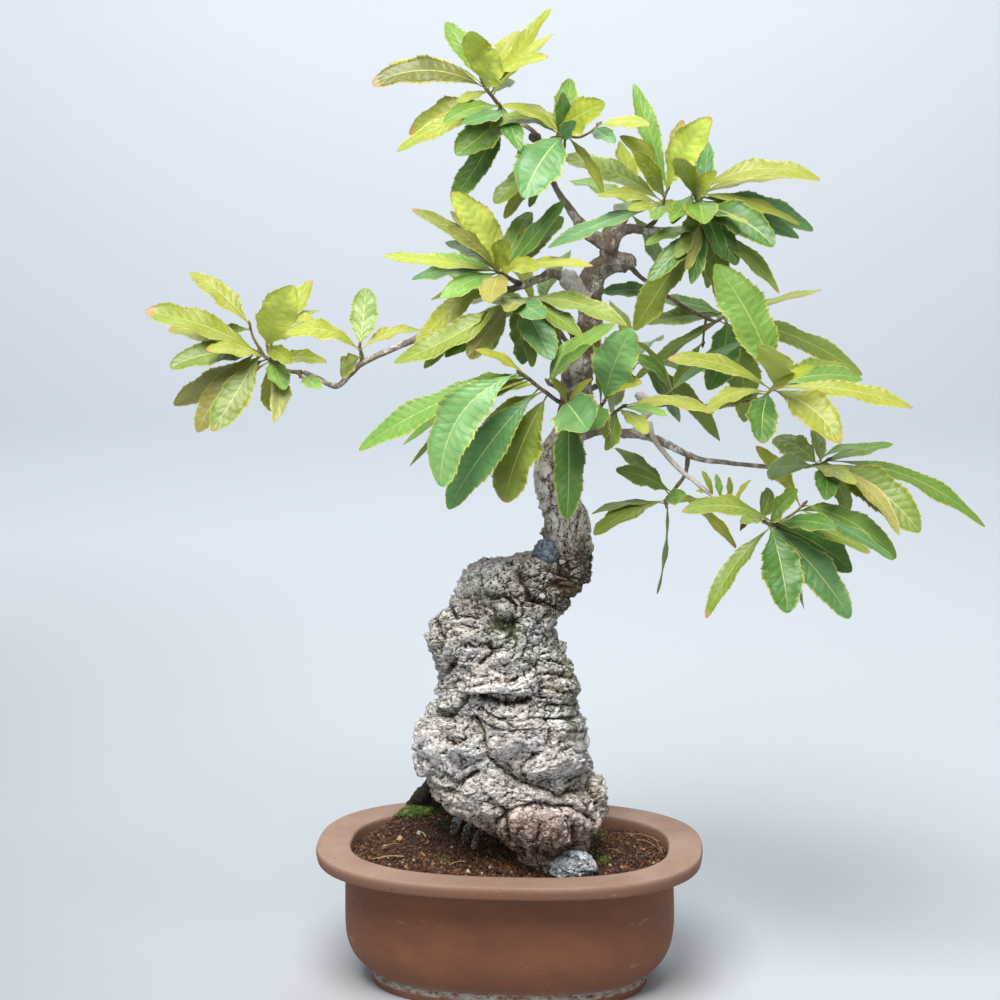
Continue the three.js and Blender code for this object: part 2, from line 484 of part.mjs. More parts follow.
      [386, 443, -10, 26, 35, 0.06, 0.06, 'l'], [246, 555, 14, 20, 45, 0.05, 0.03, 'y'],
      [383, 441, -50, 20, 60, 0.05, 0, 'b']] },
  ] },
  spray_low_middle: { limb: 'hangTwig', twigs: [
    { path: [[155, 499, -17, 1.8], [156, 496, -18, 1.7]], leaves: [
      [82, 487, -30, 14, 65, 0.06, 0.04, 'o'], [84, 466, -46, 27, 50, 0.06, 0.02, 'o'],
      [147, 407, -8, 15, 75, 0.04, -0.03, 'g'], [105, 553, 30, 18, 50, 0.05, 0.02, 'g'],
      [106, 531, -24, 20, 45, 0.06, 0.02, 'g'], [226, 453, -20, 16, 50, 0.05, 0.02, 'y'],
      [198, 499, 34, 13, 60, 0.05, 0.02, 'y']] },
  ] },
  spray_small_right: { limb: 'smallTwig', twigs: [
    { path: [[160, 609, 6, 1.6], [163, 612, 7, 1.5]], leaves: [
      [126, 660, 10, 12, 60, 0.08, 0.06, 'y'], [122, 644, -30, 15, 50, 0.1, 0.1, 'g'],
      [232, 659, 20, 15, 50, 0.05, 0, 'b'], [188, 595, -34, 10, 50, 0.05, 0, 'l']] },
  ] },
  spray_middle: { limb: 'midRight', twigs: [
    { path: [[94, 598, -66, 2.1], [95, 600, -70, 2.0]], leaves: [
      [122, 672, -40, 40, 14, 0.06, 0.03, 'l'], [124, 648, 20, 20, 40, 0.05, 0, 'y'],
      [132, 618, -36, 18, 45, 0.12, 0.12, 'y'], [80, 570, -54, 28, 25, 0.05, 0, 'd']] },
  ] },
  spray_small_middle: { limb: 'smallRight', twigs: [
    { path: [[112, 594, -48, 1.8], [114, 595, -50, 1.7]], leaves: [
      [204, 588, -20, 17, 50, 0.08, 0.06, 'y'], [157, 585, -40, 12, 50, 0.05, 0.02, 'l'],
      [137, 567, -56, 17, 40, 0.05, 0.02, 'y'], [95, 551, -44, 18, 40, 0.05, 0, 'o']] },
  ] },
  spray_front_hanging: { limb: 'frontArm', twigs: [
    { path: [[59, 595, -70, 2.8], [57, 598, -78, 2.4], [56, 599, -84, 2.2]], leaves: [
      [78, 570, -80, 44, 4, 0.08, 0, 'b'], [57, 482, -26, 31, 8, 0.05, 0.01, 'd']] },
  ] },
  spray_front_twig: { limb: 'frontTwig', twigs: [
    { path: [[39, 617, -91, 2.0], [37, 620, -95, 1.8]], leaves: [
      [105, 677, -40, 17, 35, 0.06, 0.04, 'l'], [65, 663, 6, 14, 45, 0.06, 0.04, 'l'],
      [80, 656, -80, 12, 50, 0.05, 0, 'g']] },
  ] },
  spray_front_left: { limb: 'frontLeft', twigs: [
    { path: [[12, 627, -110, 2.0], [9, 629, -114, 1.9]], leaves: [
      [-70, 515, -34, 40, 10, 0.08, 0.16, 'l'], [-62, 492, 10, 33, 22, 0.05, 0.02, 'd'],
      [-6, 499, 30, 33, 30, 0.05, 0.02, 'o'], [-151, 551, 22, 26, 40, 0.06, 0.02, 'y'],
      [-35, 651, -4, 14, 60, 0.08, 0.03, 'y'], [-22, 603, 60, 17, 50, 0.06, 0.03, 'y'],
      [-29, 569, 70, 20, 40, 0.05, 0, 'y'], [-107, 556, 60, 14, 55, 0.05, 0.02, 'l'],
      [-100, 535, 76, 14, 55, 0.05, 0.03, 'g']] },
  ] },
  spray_centre: { limb: 'centreTwig', twigs: [
    { path: [[-12, 729, -54, 2.2], [-14, 731, -58, 2.0]], leaves: [
      [-128, 745, -24, 18, 50, 0.05, -0.04, 'y'], [-98, 722, 30, 18, 50, 0.06, 0.04, 'b'],
      [-70, 702, -34, 20, 40, 0.06, 0.02, 'l'],
      [-96, 651, -10, 23, 35, 0.05, 0.03, 'y'], [-98, 792, 50, 17, 45, 0.06, 0.03, 'y'],
      [-58, 809, -30, 31, 22, 0.05, 0.03, 'y'],
      [-63, 774, -56, 15, 45, 0.06, 0.03, 'k'], [-64, 759, 60, 16, 40, 0.05, 0.02, 'l'],
      [-27, 796, 60, 15, 40, 0.05, 0.03, 'l'], [20, 789, 50, 22, 30, 0.05, 0, 'l'],
      [55, 800, -4, 21, 45, 0.05, -0.04, 'd'], [53, 784, 34, 27, 30, 0.05, 0.04, 'g'],
      [-2, 761, -44, 22, 30, 0.05, 0, 'y'], [83, 735, -30, 17, 55, 0.05, 0.04, 'y'],
      [28, 731, -54, 20, 45, 0.07, 0.05, 'y'], [-20, 698, -66, 26, 30, 0.06, 0, 'k'],
      [6, 763, 30, 20, 30, 0.05, 0, 'y']] },
  ] },
  spray_lower_centre: { limb: 'middleTwig', twigs: [
    { path: [[9, 702, -52, 2.4], [2, 702, -58, 2.1], [-2, 700, -62, 1.9]], leaves: [
      [-116, 638, -20, 28, 40, 0.06, -0.1, 'o'], [-65, 644, 10, 22, 35, 0.05, -0.04, 'g'],
      [-42, 644, -34, 30, 150, 0.05, 0.02, 'k'], [10, 655, 20, 24, 30, 0.05, 0, 'o'],
      [14, 637, 44, 24, 30, 0.05, 0, 'd'],
      [42, 641, -44, 32, 22, 0.05, -0.02, 'b'], [53, 639, 6, 25, 35, 0.06, 0.05, 'o'],
      [35, 683, -60, 24, 30, 0.06, -0.02, 'b'], [73, 663, -26, 21, 45, 0.06, 0.03, 'o'],
      [117, 675, -30, 24, 48, 0.06, 0.06, 'o']] },
  ] },
  spray_back_left: { limb: 'backLeft', twigs: [
    { path: [[24, 693, 92, 2.2], [20, 696, 98, 2.0]], leaves: [
      [-70, 730, 20, 26, 60, 0.06, 0, 'g'], [-50, 700, 70, 26, 60, 0.06, 0, 'o'],
      [-10, 760, 60, 26, 50, 0.06, 0, 'y'],
      [40, 700, 104, 28, 60, 0.06, 0, 'g'], [10, 640, 84, 26, 50, 0.06, 0, 'o'],
      [60, 750, 76, 26, 60, 0.06, 0, 'g'], [-20, 690, 110, 26, 70, 0.06, 0, 'l']] },
  ] },
  spray_back_right: { limb: 'backRight', twigs: [
    { path: [[129, 640, 100, 2.1], [132, 643, 105, 1.9]], leaves: [
      [60, 650, 60, 26, 60, 0.06, 0, 'g'], [100, 590, 70, 26, 50, 0.06, 0, 'o'],
      [170, 580, 60, 26, 50, 0.06, 0, 'g'], [220, 620, 60, 26, 60, 0.06, 0, 'g'],
      [150, 660, 110, 28, 70, 0.06, 0, 'l'],
      [100, 700, 80, 26, 60, 0.06, 0, 'y']] },
  ] },
  spray_back_top: { limb: 'backTop', twigs: [
    { path: [[121, 792, 78, 2.0], [123, 795, 83, 1.8]], leaves: [
      [60, 820, 60, 26, 60, 0.06, 0, 'g'], [110, 860, 50, 26, 50, 0.06, 0, 'y'],
      [220, 780, 50, 26, 60, 0.06, 0, 'o'],
      [150, 730, 70, 26, 50, 0.06, 0, 'g'], [90, 740, 80, 26, 60, 0.06, 0, 'o'],
      [130, 800, 110, 28, 70, 0.06, 0, 'l']] },
  ] },
};

const tones = { y: 0xb4bb3c, l: 0x9cc76b, g: 0x6f9c35, d: 0x3c6a26, b: 0x7aa98a, o: 0x7f8a35, k: 0xb3ac68 };
const longLeafStations = [0.14, 0.38, 0.64, 0.87];
const shortLeafStations = [0.18, 0.5, 0.82];
const toothDepth = 0.09;
const foldRise = 0.1;
const leafStep = 3.4;
const stepsBack = 6;

// Half width of a blade at a share of its length: narrow at the stalk, widest past the middle
function bladeWidth(share) {
  return Math.sin(Math.PI * Math.min(1, share ** 1.15)) ** 0.75;
}

// A leaf's own axes: out of its upper face, and across it
function leafAxes(base, tip, turn) {
  const along = tip.clone().sub(base).normalize();
  const toEye = eye.clone().sub(base).normalize();
  const facing = toEye.addScaledVector(along, -toEye.dot(along)).normalize();
  const upward = new THREE.Vector3().crossVectors(along, facing);
  if (upward.z + 0.3 * upward.x < 0) upward.negate();
  const angle = THREE.MathUtils.degToRad(turn);
  const out = facing.clone().multiplyScalar(Math.cos(angle)).addScaledVector(upward, Math.sin(angle));
  const across = upward.multiplyScalar(Math.cos(angle)).addScaledVector(facing, -Math.sin(angle));
  return { out, across };
}

// Leaf: a lens-shaped blade with toothed edges on an arched rib, and its stalk, which starts inside the twig
function buildLeaf(base, tip, [, , , width, turn, bow, sway]) {
  const length = base.distanceTo(tip);
  const { out, across } = leafAxes(base, tip, turn);
  const rib = (share) => base.clone().lerp(tip, share)
    .addScaledVector(out, 4 * share * (1 - share) * bow * length)
    .addScaledVector(across, 4 * share * (1 - share) * sway * length);
  const crossing = (share, half, rise) => {
    const p = rib(share);
    return [
      p.clone().addScaledVector(across, half).addScaledVector(out, rise),
      p.clone().addScaledVector(out, leafThickness / 2),
      p.clone().addScaledVector(across, -half).addScaledVector(out, rise),
      p.clone().addScaledVector(out, -leafThickness / 2),
    ];
  };
  const stations = length > longLeaf ? longLeafStations : shortLeafStations;
  const rings = [crossing(0, petioleWidth / 2, 0)];
  stations.forEach((share, i) => {
    const tooth = i % 2 ? 1 + toothDepth : 1 - toothDepth;
    const half = i === 0 ? petioleWidth / 2 : (width / 2) * bladeWidth(share) * tooth;
    rings.push(crossing(share, half, i === 0 ? 0 : foldRise * half));
  });
  const points = [...rings.flat(), rib(1)];
  const faces = [0, 2, 1, 0, 3, 2];
  for (let i = 0; i < rings.length - 1; i++) {
    for (let j = 0; j < 4; j++) {
      const a = 4 * i + j;
      const b = 4 * i + ((j + 1) % 4);
      if (j % 2) faces.push(a, b, a + 4, b, b + 4, a + 4);
      else faces.push(a, b, b + 4, a, b + 4, a + 4);
    }
  }
  const last = 4 * (rings.length - 1);
  for (let j = 0; j < 4; j++) faces.push(last + j, last + ((j + 1) % 4), points.length - 1);
  const geometry = new THREE.BufferGeometry();
  geometry.setAttribute('position', new THREE.Float32BufferAttribute(points.flatMap((p) => p.toArray()), 3));
  geometry.setIndex(faces);
  let solid = toManifold(geometry);
  if (solid.volume() < 0) {
    geometry.setIndex(faces.map((_, i) => faces[i - (i % 3) + (2 - (i % 3))]));
    solid = toManifold(geometry);
  }
  return solid;
}

// Where leaf i of a twig starts: walked back from the twig's end along its path, and never off it
function leafBase(path, i) {
  const curve = new THREE.CurvePath();
  path.slice(1).forEach((p, k) => curve.add(new THREE.LineCurve3(path[k], p)));
  const length = curve.getLength();
  const back = Math.min(leafStep * ((i % stepsBack) + 0.4), 0.8 * length);
  return curve.getPointAt(1 - back / length);
}

const twigSides = 4;

function sprayPieces(name) {
  const { limb: limbName, twigs } = sprays[name];
  const { end, way, radius } = limbEnd(limbName);
  const start = end.clone().addScaledVector(way, touchGap);
  return twigs.flatMap(({ path, leaves }, t) => {
    const points = path.map(place);
    const radii = path.map((row) => row[3]);
    const twig = t === 0
      ? limb([start, ...points], [radius, ...radii], twigSides, way)
      : limb(points, radii, twigSides);
    const depth = path[path.length - 1][2];
    const blades = leaves.map((row, i) => {
      const base = leafBase(t === 0 ? [start, ...points] : points, i);
      return buildLeaf(base, place([row[0], row[1], depth + row[2]]), row);
    });
    return [toManifold(twig), ...blades];
  });
}

function buildSpray(name) {
  return union(sprayPieces(name));
}

// One mean colour for a spray, from the tones of its leaves
function sprayColour(name) {
  const rows = sprays[name].twigs.flatMap(({ leaves }) => leaves);
  const leafTones = rows.map((row) => new THREE.Color(tones[row[7]]));
  const sum = leafTones.reduce((total, tone) => total.add(tone), new THREE.Color(0));
  return sum.multiplyScalar(1 / leafTones.length);
}

const tree = new THREE.Group();

function addPiece(name, solid, color, roughness) {
  const material = new THREE.MeshStandardMaterial({ color, roughness, metalness: 0 });
  const mesh = new THREE.Mesh(toGeometry(solid), material);
  mesh.name = name;
  tree.add(mesh);
}

addPiece('pot', buildPot(), 0x8a5f4c, 0.75);
addPiece('soil', buildSoil(), 0x6a4634, 0.95);
drainPlaces().forEach((spot, i) => {
  const low = floorTop + touchGap;
  addPiece(`drain_mesh_${i + 1}`, upright(meshRadius, low, low + meshThickness, spot), 0x2f3331, 0.6);
});
addPiece('trunk', buildTrunk(), 0x9a948c, 0.9);
addPiece('cut_paste', buildCutPaste(), 0x56606b, 0.7);
Object.keys(sprays).forEach((name) => addPiece(name, buildSpray(name), sprayColour(name), 0.45));

export default tree;
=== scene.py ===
# Chestnut-leaved oak bonsai in its oval clay pot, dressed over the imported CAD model.
# Metres, +Z up, +X to the right, -Y towards the viewer. Sizes in the tables are millimetres.
import math
import bpy
import numpy as np
from mathutils import Matrix, Vector


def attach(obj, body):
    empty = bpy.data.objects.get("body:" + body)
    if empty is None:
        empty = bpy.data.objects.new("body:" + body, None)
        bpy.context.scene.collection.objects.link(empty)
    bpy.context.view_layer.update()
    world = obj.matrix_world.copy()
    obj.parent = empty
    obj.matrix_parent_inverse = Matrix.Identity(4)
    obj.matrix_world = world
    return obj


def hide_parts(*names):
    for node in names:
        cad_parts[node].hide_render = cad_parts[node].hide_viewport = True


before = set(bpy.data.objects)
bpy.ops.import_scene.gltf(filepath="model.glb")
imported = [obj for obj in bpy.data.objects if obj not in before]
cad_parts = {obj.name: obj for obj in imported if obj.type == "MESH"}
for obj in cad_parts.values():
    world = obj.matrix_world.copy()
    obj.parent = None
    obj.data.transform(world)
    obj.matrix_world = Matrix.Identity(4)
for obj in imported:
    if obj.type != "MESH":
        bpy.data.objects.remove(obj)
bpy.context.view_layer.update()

mm = 0.001
golden = (1 + math.sqrt(5)) / 2
rng = np.random.default_rng(27)

# The leaning view plane that the plant's places are read on: [x, z, y] is x to the right
# and z up on that plane, and y the depth behind it
sight = {"pitch": math.radians(10.7), "distance": 2400.0, "aim": (-10.0, 0.0, 501.0), "lens": 86.4}
sightForward = np.array([0.0, math.cos(sight["pitch"]), -math.sin(sight["pitch"])])
sightUp = np.array([0.0, math.sin(sight["pitch"]), math.cos(sight["pitch"])])
sightAim = np.array(sight["aim"])
eye = sightAim - sightForward * sight["distance"]


def place(spots):
    # the point at depth y on the line from the eye through (x, z) of the view plane
    spots = np.atleast_2d(np.asarray(spots, float))
    onPlane = sightAim + sightUp * (spots[:, 1:2] - sightAim[2])
    onPlane[:, 0] = spots[:, 0]
    reach = (spots[:, 2] - eye[1]) / (onPlane[:, 1] - eye[1])
    return eye + (onPlane - eye) * reach[:, None]


def seenAt(points):
    # the other way: where a point falls on the view plane, its size there being distance / depth
    away = points - eye
    scale = sight["distance"] / (away @ sightForward)
    return np.column_stack([sightAim[0] + scale * away[:, 0], sightAim[2] + scale * (away @ sightUp)])


def unit(vectors):
    # each row divided by its own length
    return vectors / np.maximum(np.linalg.norm(vectors, axis=-1, keepdims=True), 1e-12)


def circle(count):
    # cosine and sine of evenly spaced turns, as rows
    turn = np.linspace(0, 2 * math.pi, count, endpoint=False)
    return np.stack([np.cos(turn), np.sin(turn)], -1)


# Noise, on whole arrays of points

def hash3(cells, salt):
    # a repeatable random number from 0 to 1 for each whole-number cell
    a = cells.astype(np.int64)
    h = a[..., 0] * 73856093 ^ a[..., 1] * 19349663 ^ a[..., 2] * 83492791 ^ (salt * 2654435761)
    h = (h ^ (h >> 13)) * 1274126177 & 0x7FFFFFFF
    h = (h ^ (h >> 11)) * 668265263 & 0x7FFFFFFF
    return ((h ^ (h >> 15)) % 1000003) / 1000003.0


def softNoise(points, size, salt=0):
    # value noise from -1 to 1: random corner values blended by a smooth step in each direction
    p = points / size
    cell = np.floor(p)
    f = p - cell
    f = f * f * (3 - 2 * f)
    total = np.zeros(len(p))
    for corner in np.ndindex(2, 2, 2):
        weight = np.prod(np.where(np.array(corner) == 1, f, 1 - f), axis=1)
        total += weight * hash3(cell + corner, salt)
    return 2 * total - 1


def drift(points, size, salts):
    # a vector of soft noises, one for each salt
    return np.column_stack([softNoise(points, size, salt) for salt in salts])


def roughNoise(points, size, salt=0, steps=3):
    # several soft noises, each half the size and half the height of the one before
    return sum(softNoise(points, size / 2 ** k, salt + k) / 2 ** k for k in range(steps))


def plates(points, size, salt=0, tilt=0.7):
    # broken plates: the nearest of jittered cell middles owns a point; returns the plate's own
    # tilted height and the distance to its border
    p = points / size
    cell = np.floor(p)
    near = np.full(len(p), 9.0)
    second = np.full(len(p), 9.0)
    height = np.zeros(len(p))
    for offset in np.ndindex(3, 3, 3):
        there = cell + np.array(offset) - 1
        jitter, lean = (np.stack([hash3(there, salt + k + first) for k in range(3)], axis=1)
                        for first in (0, 3))
        away = p - (there + 0.15 + 0.7 * jitter)
        far = np.linalg.norm(away, axis=1)
        closer = far < near
        second = np.where(closer, near, np.minimum(second, far))
        own = hash3(there, salt + 6) - 0.5 + tilt * np.sum(away * (lean - 0.5), axis=1)
        height = np.where(closer, own, height)
        near = np.where(closer, far, near)
    return height, second - near


def pillows(points, layers):
    # layers of |noise|^0.65: round swellings parted by sharp seams
    rise = np.zeros(len(points))
    seam = np.zeros(len(points))
    for size, lift, salt in layers:
        wave = np.abs(softNoise(points + 0.6 * size, size, salt))
        rise += lift * (np.minimum(2.3 * wave, 1) ** 0.65 - 0.6)
        seam = np.maximum(seam, np.clip(1 - 9 * wave, 0, 1) * min(0.85, lift / 2.0))
    return rise, seam


# Meshes, from arrays

def gridFaces(rows, columns, wrap, start=0):
    # quads between neighbouring rows and columns of a grid of points; wrap closes the columns
    i, j = np.meshgrid(np.arange(rows - 1), np.arange(columns if wrap else columns - 1), indexing="ij")
    this, above = i * columns, (i + 1) * columns
    nextJ = (j + 1) % columns
    quads = np.stack([this + j, this + nextJ, above + nextJ, above + j], -1)
    return quads.reshape(-1, 4) + start


def fanFaces(ring, middle, outward):
    # triangles from a ring of point numbers to its middle point
    nextOne = np.roll(ring, -1)
    pair = (nextOne, ring) if outward else (ring, nextOne)
    return np.stack([*pair, np.full(len(ring), middle)], -1)


def capped(grid, ends=None):
    # a tube's grid of rings as points, quads and end fans, which meet in the end rings' middles
    rings, sides = grid.shape[:2]
    ends = np.array([grid[0].mean(0), grid[-1].mean(0)]) if ends is None else np.array(ends)
    tris = np.vstack([fanFaces(np.arange(sides), rings * sides, True),
                      fanFaces((rings - 1) * sides + np.arange(sides), rings * sides + 1, False)])
    return np.vstack([grid.reshape(-1, 3), ends]), gridFaces(rings, sides, True), tris


def addMesh(name, points, quads, tris=None, colours=None, values=None, uvs=None, smooth=True):
    # one object at the origin, its points in metres; values holds one number a point for each name
    mesh = bpy.data.meshes.new(name)
    quads, tris = ([] if rows is None else np.asarray(rows) for rows in (quads, tris))
    corners = np.concatenate([np.ravel(quads), np.ravel(tris)]).astype(np.int32)
    sizes = np.concatenate([np.full(len(quads), 4), np.full(len(tris), 3)]).astype(np.int32)
    mesh.vertices.add(len(points))
    mesh.vertices.foreach_set("co", (np.asarray(points) * mm).astype(np.float32).ravel())
    mesh.loops.add(len(corners))
    mesh.loops.foreach_set("vertex_index", corners)
    mesh.polygons.add(len(sizes))
    mesh.polygons.foreach_set("loop_start", np.concatenate([[0], np.cumsum(sizes)[:-1]]).astype(np.int32))
    mesh.polygons.foreach_set("loop_total", sizes)
    mesh.update(calc_edges=True)
    mesh.polygons.foreach_set("use_smooth", np.full(len(sizes), smooth))
    for key, array in (values or {}).items():
        mesh.attributes.new(key, "FLOAT", "POINT").data.foreach_set("value", array.astype(np.float32))
    if colours is not None:
        filled = np.ones((len(points), 4), np.float32)
        filled[:, :3] = colours
        mesh.attributes.new("tint", "FLOAT_COLOR", "POINT").data.foreach_set("color", filled.ravel())
    if uvs is not None:
        layer = mesh.uv_layers.new(name="blade")
        layer.data.foreach_set("uv", uvs[corners].astype(np.float32).ravel())
    mesh.validate()
    piece = bpy.data.objects.new(name, mesh)
    bpy.context.scene.collection.objects.link(piece)
    return piece


def seat(piece, slot, material, *nodes):
    # the piece rides on the one body and stands for its CAD nodes; slot is not used
    piece.data.materials.append(material)
    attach(piece, "root")
    if nodes:
        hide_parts(*nodes)
    print("made", piece.name, len(piece.data.loops) - 2 * len(piece.data.polygons), "triangles")
    return piece


def smoothPath(points, step):
    # Catmull-Rom curve through rows of numbers, sampled about every step of its first three
    rows = np.asarray(points, float)
    padded = np.vstack([2 * rows[0] - rows[1], rows, 2 * rows[-1] - rows[-2]])
    out = []
    for a, b, c, d in zip(padded[:-3], padded[1:-2], padded[2:-1], padded[3:]):
        count = max(2, int(np.linalg.norm((c - b)[:3]) / step))
        t = np.linspace(0, 1, count, endpoint=False)[:, None]
        out.append(0.5 * (2 * b + (c - a) * t + (2 * a - 5 * b + 4 * c - d) * t ** 2
                          + (3 * b - a - 3 * c + d) * t ** 3))
    return np.vstack([*out, rows[-1:]])


def tubeGrid(path, radii, sides):
    # rings square to the path, carried along it with as little twist as can be, and the ways out of it
    way = unit(np.gradient(path, axis=0))
    side = np.cross(way[0], [0.0, 0.0, 1.0] if abs(way[0][2]) < 0.9 else [1.0, 0.0, 0.0])
    first = []
    for w in way:
        side = side - w * np.dot(side, w)
        side = side / np.linalg.norm(side)
        first.append(side)
    first = np.array(first)[:, None, :]
    other = np.cross(way, first[:, 0])[:, None, :]
    turn = circle(sides)[None, :, :, None]
    out = first * turn[:, :, 0] + other * turn[:, :, 1]
    return path[:, None, :] + out * radii[:, None, None], out


def pushedOut(grid, out, relief):
    # a grid moved along its outward directions by one number a point
    return grid + out * relief.reshape(grid.shape[:2])[..., None]


class Bundle:
    # points and faces gathered from many small shapes, to become one mesh
    def __init__(self):
        self.points, self.quads, self.tris, self.uvs, self.colours, self.values = [], [], [], [], [], {}
        self.count = 0

    def add(self, points, quads, tris=None, uvs=None, colour=None, **values):
        # one more shape: its faces' numbers are moved on by the points that are already in
        self.quads.append(quads + self.count)
        if tris is not None:
            self.tris.append(tris + self.count)
        self.points.append(points)
        for key, value in values.items():
            self.values.setdefault(key, []).append(np.broadcast_to(value, (len(points),)).astype(float))
        if colour is not None:
            self.colours.append(np.broadcast_to(colour, (len(points), 3)))
        self.uvs.append(np.zeros((len(points), 2)) if uvs is None else uvs)
        self.count += len(points)

    def build(self, name):
        # all shapes as one mesh
        values = {key: np.concatenate(parts) for key, parts in self.values.items()}
        tris, colours = (np.vstack(parts) if parts else None for parts in (self.tris, self.colours))
        points, quads, uvs = (np.vstack(parts) for parts in (self.points, self.quads, self.uvs))
        return addMesh(name, points, quads, tris, colours, values, uvs)


# Materials

def paint(red, green, blue):
    # a screen colour from 0 to 255 as linear light
    c = np.array([red, green, blue]) / 255
    return (*np.where(c <= 0.04045, c / 12.92, ((c + 0.055) / 1.055) ** 2.4).tolist(), 1.0)


class Finish:
    # a material and short ways to wire its nodes; an input is a number or a socket, and in mix a
    # tuple is a screen colour from 0 to 255 and a list is a colour in linear light
    def __init__(self, name, roughness, **settings):
        # a principled shader with its roughness and other sockets, _ standing for a space in their names
        self.material = bpy.data.materials.new(name)
        self.material.use_nodes = True
        self.tree = self.material.node_tree
        self.shader = self.tree.nodes["Principled BSDF"]
        self.set("Roughness", roughness)
        for key, value in settings.items():
            self.set(key.replace("_", " "), value)
        self.spot = self.node("ShaderNodeTexCoord").outputs["Object"]

    def set(self, key, value, node=None):
        # a link from a socket, or the constant itself, into an input of the node
        socket = (node or self.shader).inputs[key]
        if isinstance(value, bpy.types.NodeSocket):
            self.tree.links.new(value, socket)
        else:
            socket.default_value = value

    def node(self, kind, inputs=None, **settings):
        # a new node with its settings and inputs
        made = self.tree.nodes.new(kind)
        for key, value in settings.items():
            setattr(made, key, value)
        for key, value in (inputs or {}).items():
            self.set(key, value, made)
        return made

    def attribute(self, name, output="Fac"):
        # the mesh's own number, or with output "Color" its own colour
        return self.node("ShaderNodeAttribute", attribute_name=name).outputs[output]

    def stretched(self, stretch):
        # object coordinates times a number for each axis
        return self.node("ShaderNodeMapping", {"Vector": self.spot, "Scale": stretch}).outputs[0]

    def noise(self, size, detail=3.0, roughness=0.55, stretch=(1, 1, 1)):
        # size is the pattern's length in metres
        made = self.node("ShaderNodeTexNoise", {"Vector": self.stretched(stretch), "Scale": 1 / size})
        self.set("Detail", detail, made)
        self.set("Roughness", roughness, made)
        return made.outputs["Fac"]

    def cells(self, size, stretch=(1, 1, 1)):
        # distance to the nearest of scattered middles
        inputs = {"Vector": self.stretched(stretch), "Scale": 1 / size}
        return self.node("ShaderNodeTexVoronoi", inputs).outputs["Distance"]

    def range(self, value, low, high, start=0.0, end=1.0):
        # low to high becomes start to end, and stays there outside
        return self.node("ShaderNodeMapRange", {0: value, 1: low, 2: high, 3: start, 4: end}).outputs[0]

    def maths(self, operation, a, b=0.0):
        # a and b by one operation
        return self.node("ShaderNodeMath", {0: a, 1: b}, operation=operation).outputs[0]

    def plus(self, a, b):
        # a + b
        return self.maths("ADD", a, b)

    def minus(self, a, b):
        # a - b
        return self.maths("SUBTRACT", a, b)

    def times(self, a, b):
        # a x b
        return self.maths("MULTIPLY", a, b)

    def fromMiddle(self, value):
        # |value - 0.5|
        return self.maths("ABSOLUTE", self.minus(value, 0.5))

    def mix(self, share, a, b):
        # a x (1 - share) + b x share
        made = self.node("ShaderNodeMix", data_type="RGBA", clamp_factor=True)
        self.set(0, share, made)
        for socket, colour in ((6, a), (7, b)):
            self.set(socket, paint(*colour) if isinstance(colour, tuple) else colour, made)
        return made.outputs[2]

    def bump(self, height, distance, strength=1.0, under=None):
        # the surface's direction tilted by a height, over another bump if one is given
        made = self.node("ShaderNodeBump", {"Height": height, "Distance": distance, "Strength": strength})
        if under is not None:
            self.set("Normal", under, made)
        return made.outputs[0]

    def split(self, vector):
        # x, y and z
        return self.node("ShaderNodeSeparateXYZ", {0: vector}).outputs

    def done(self, colour, normal=None):
        # the finished material
        self.set("Base Color", colour)
        if normal is not None:
            self.set("Normal", normal)
        return self.material


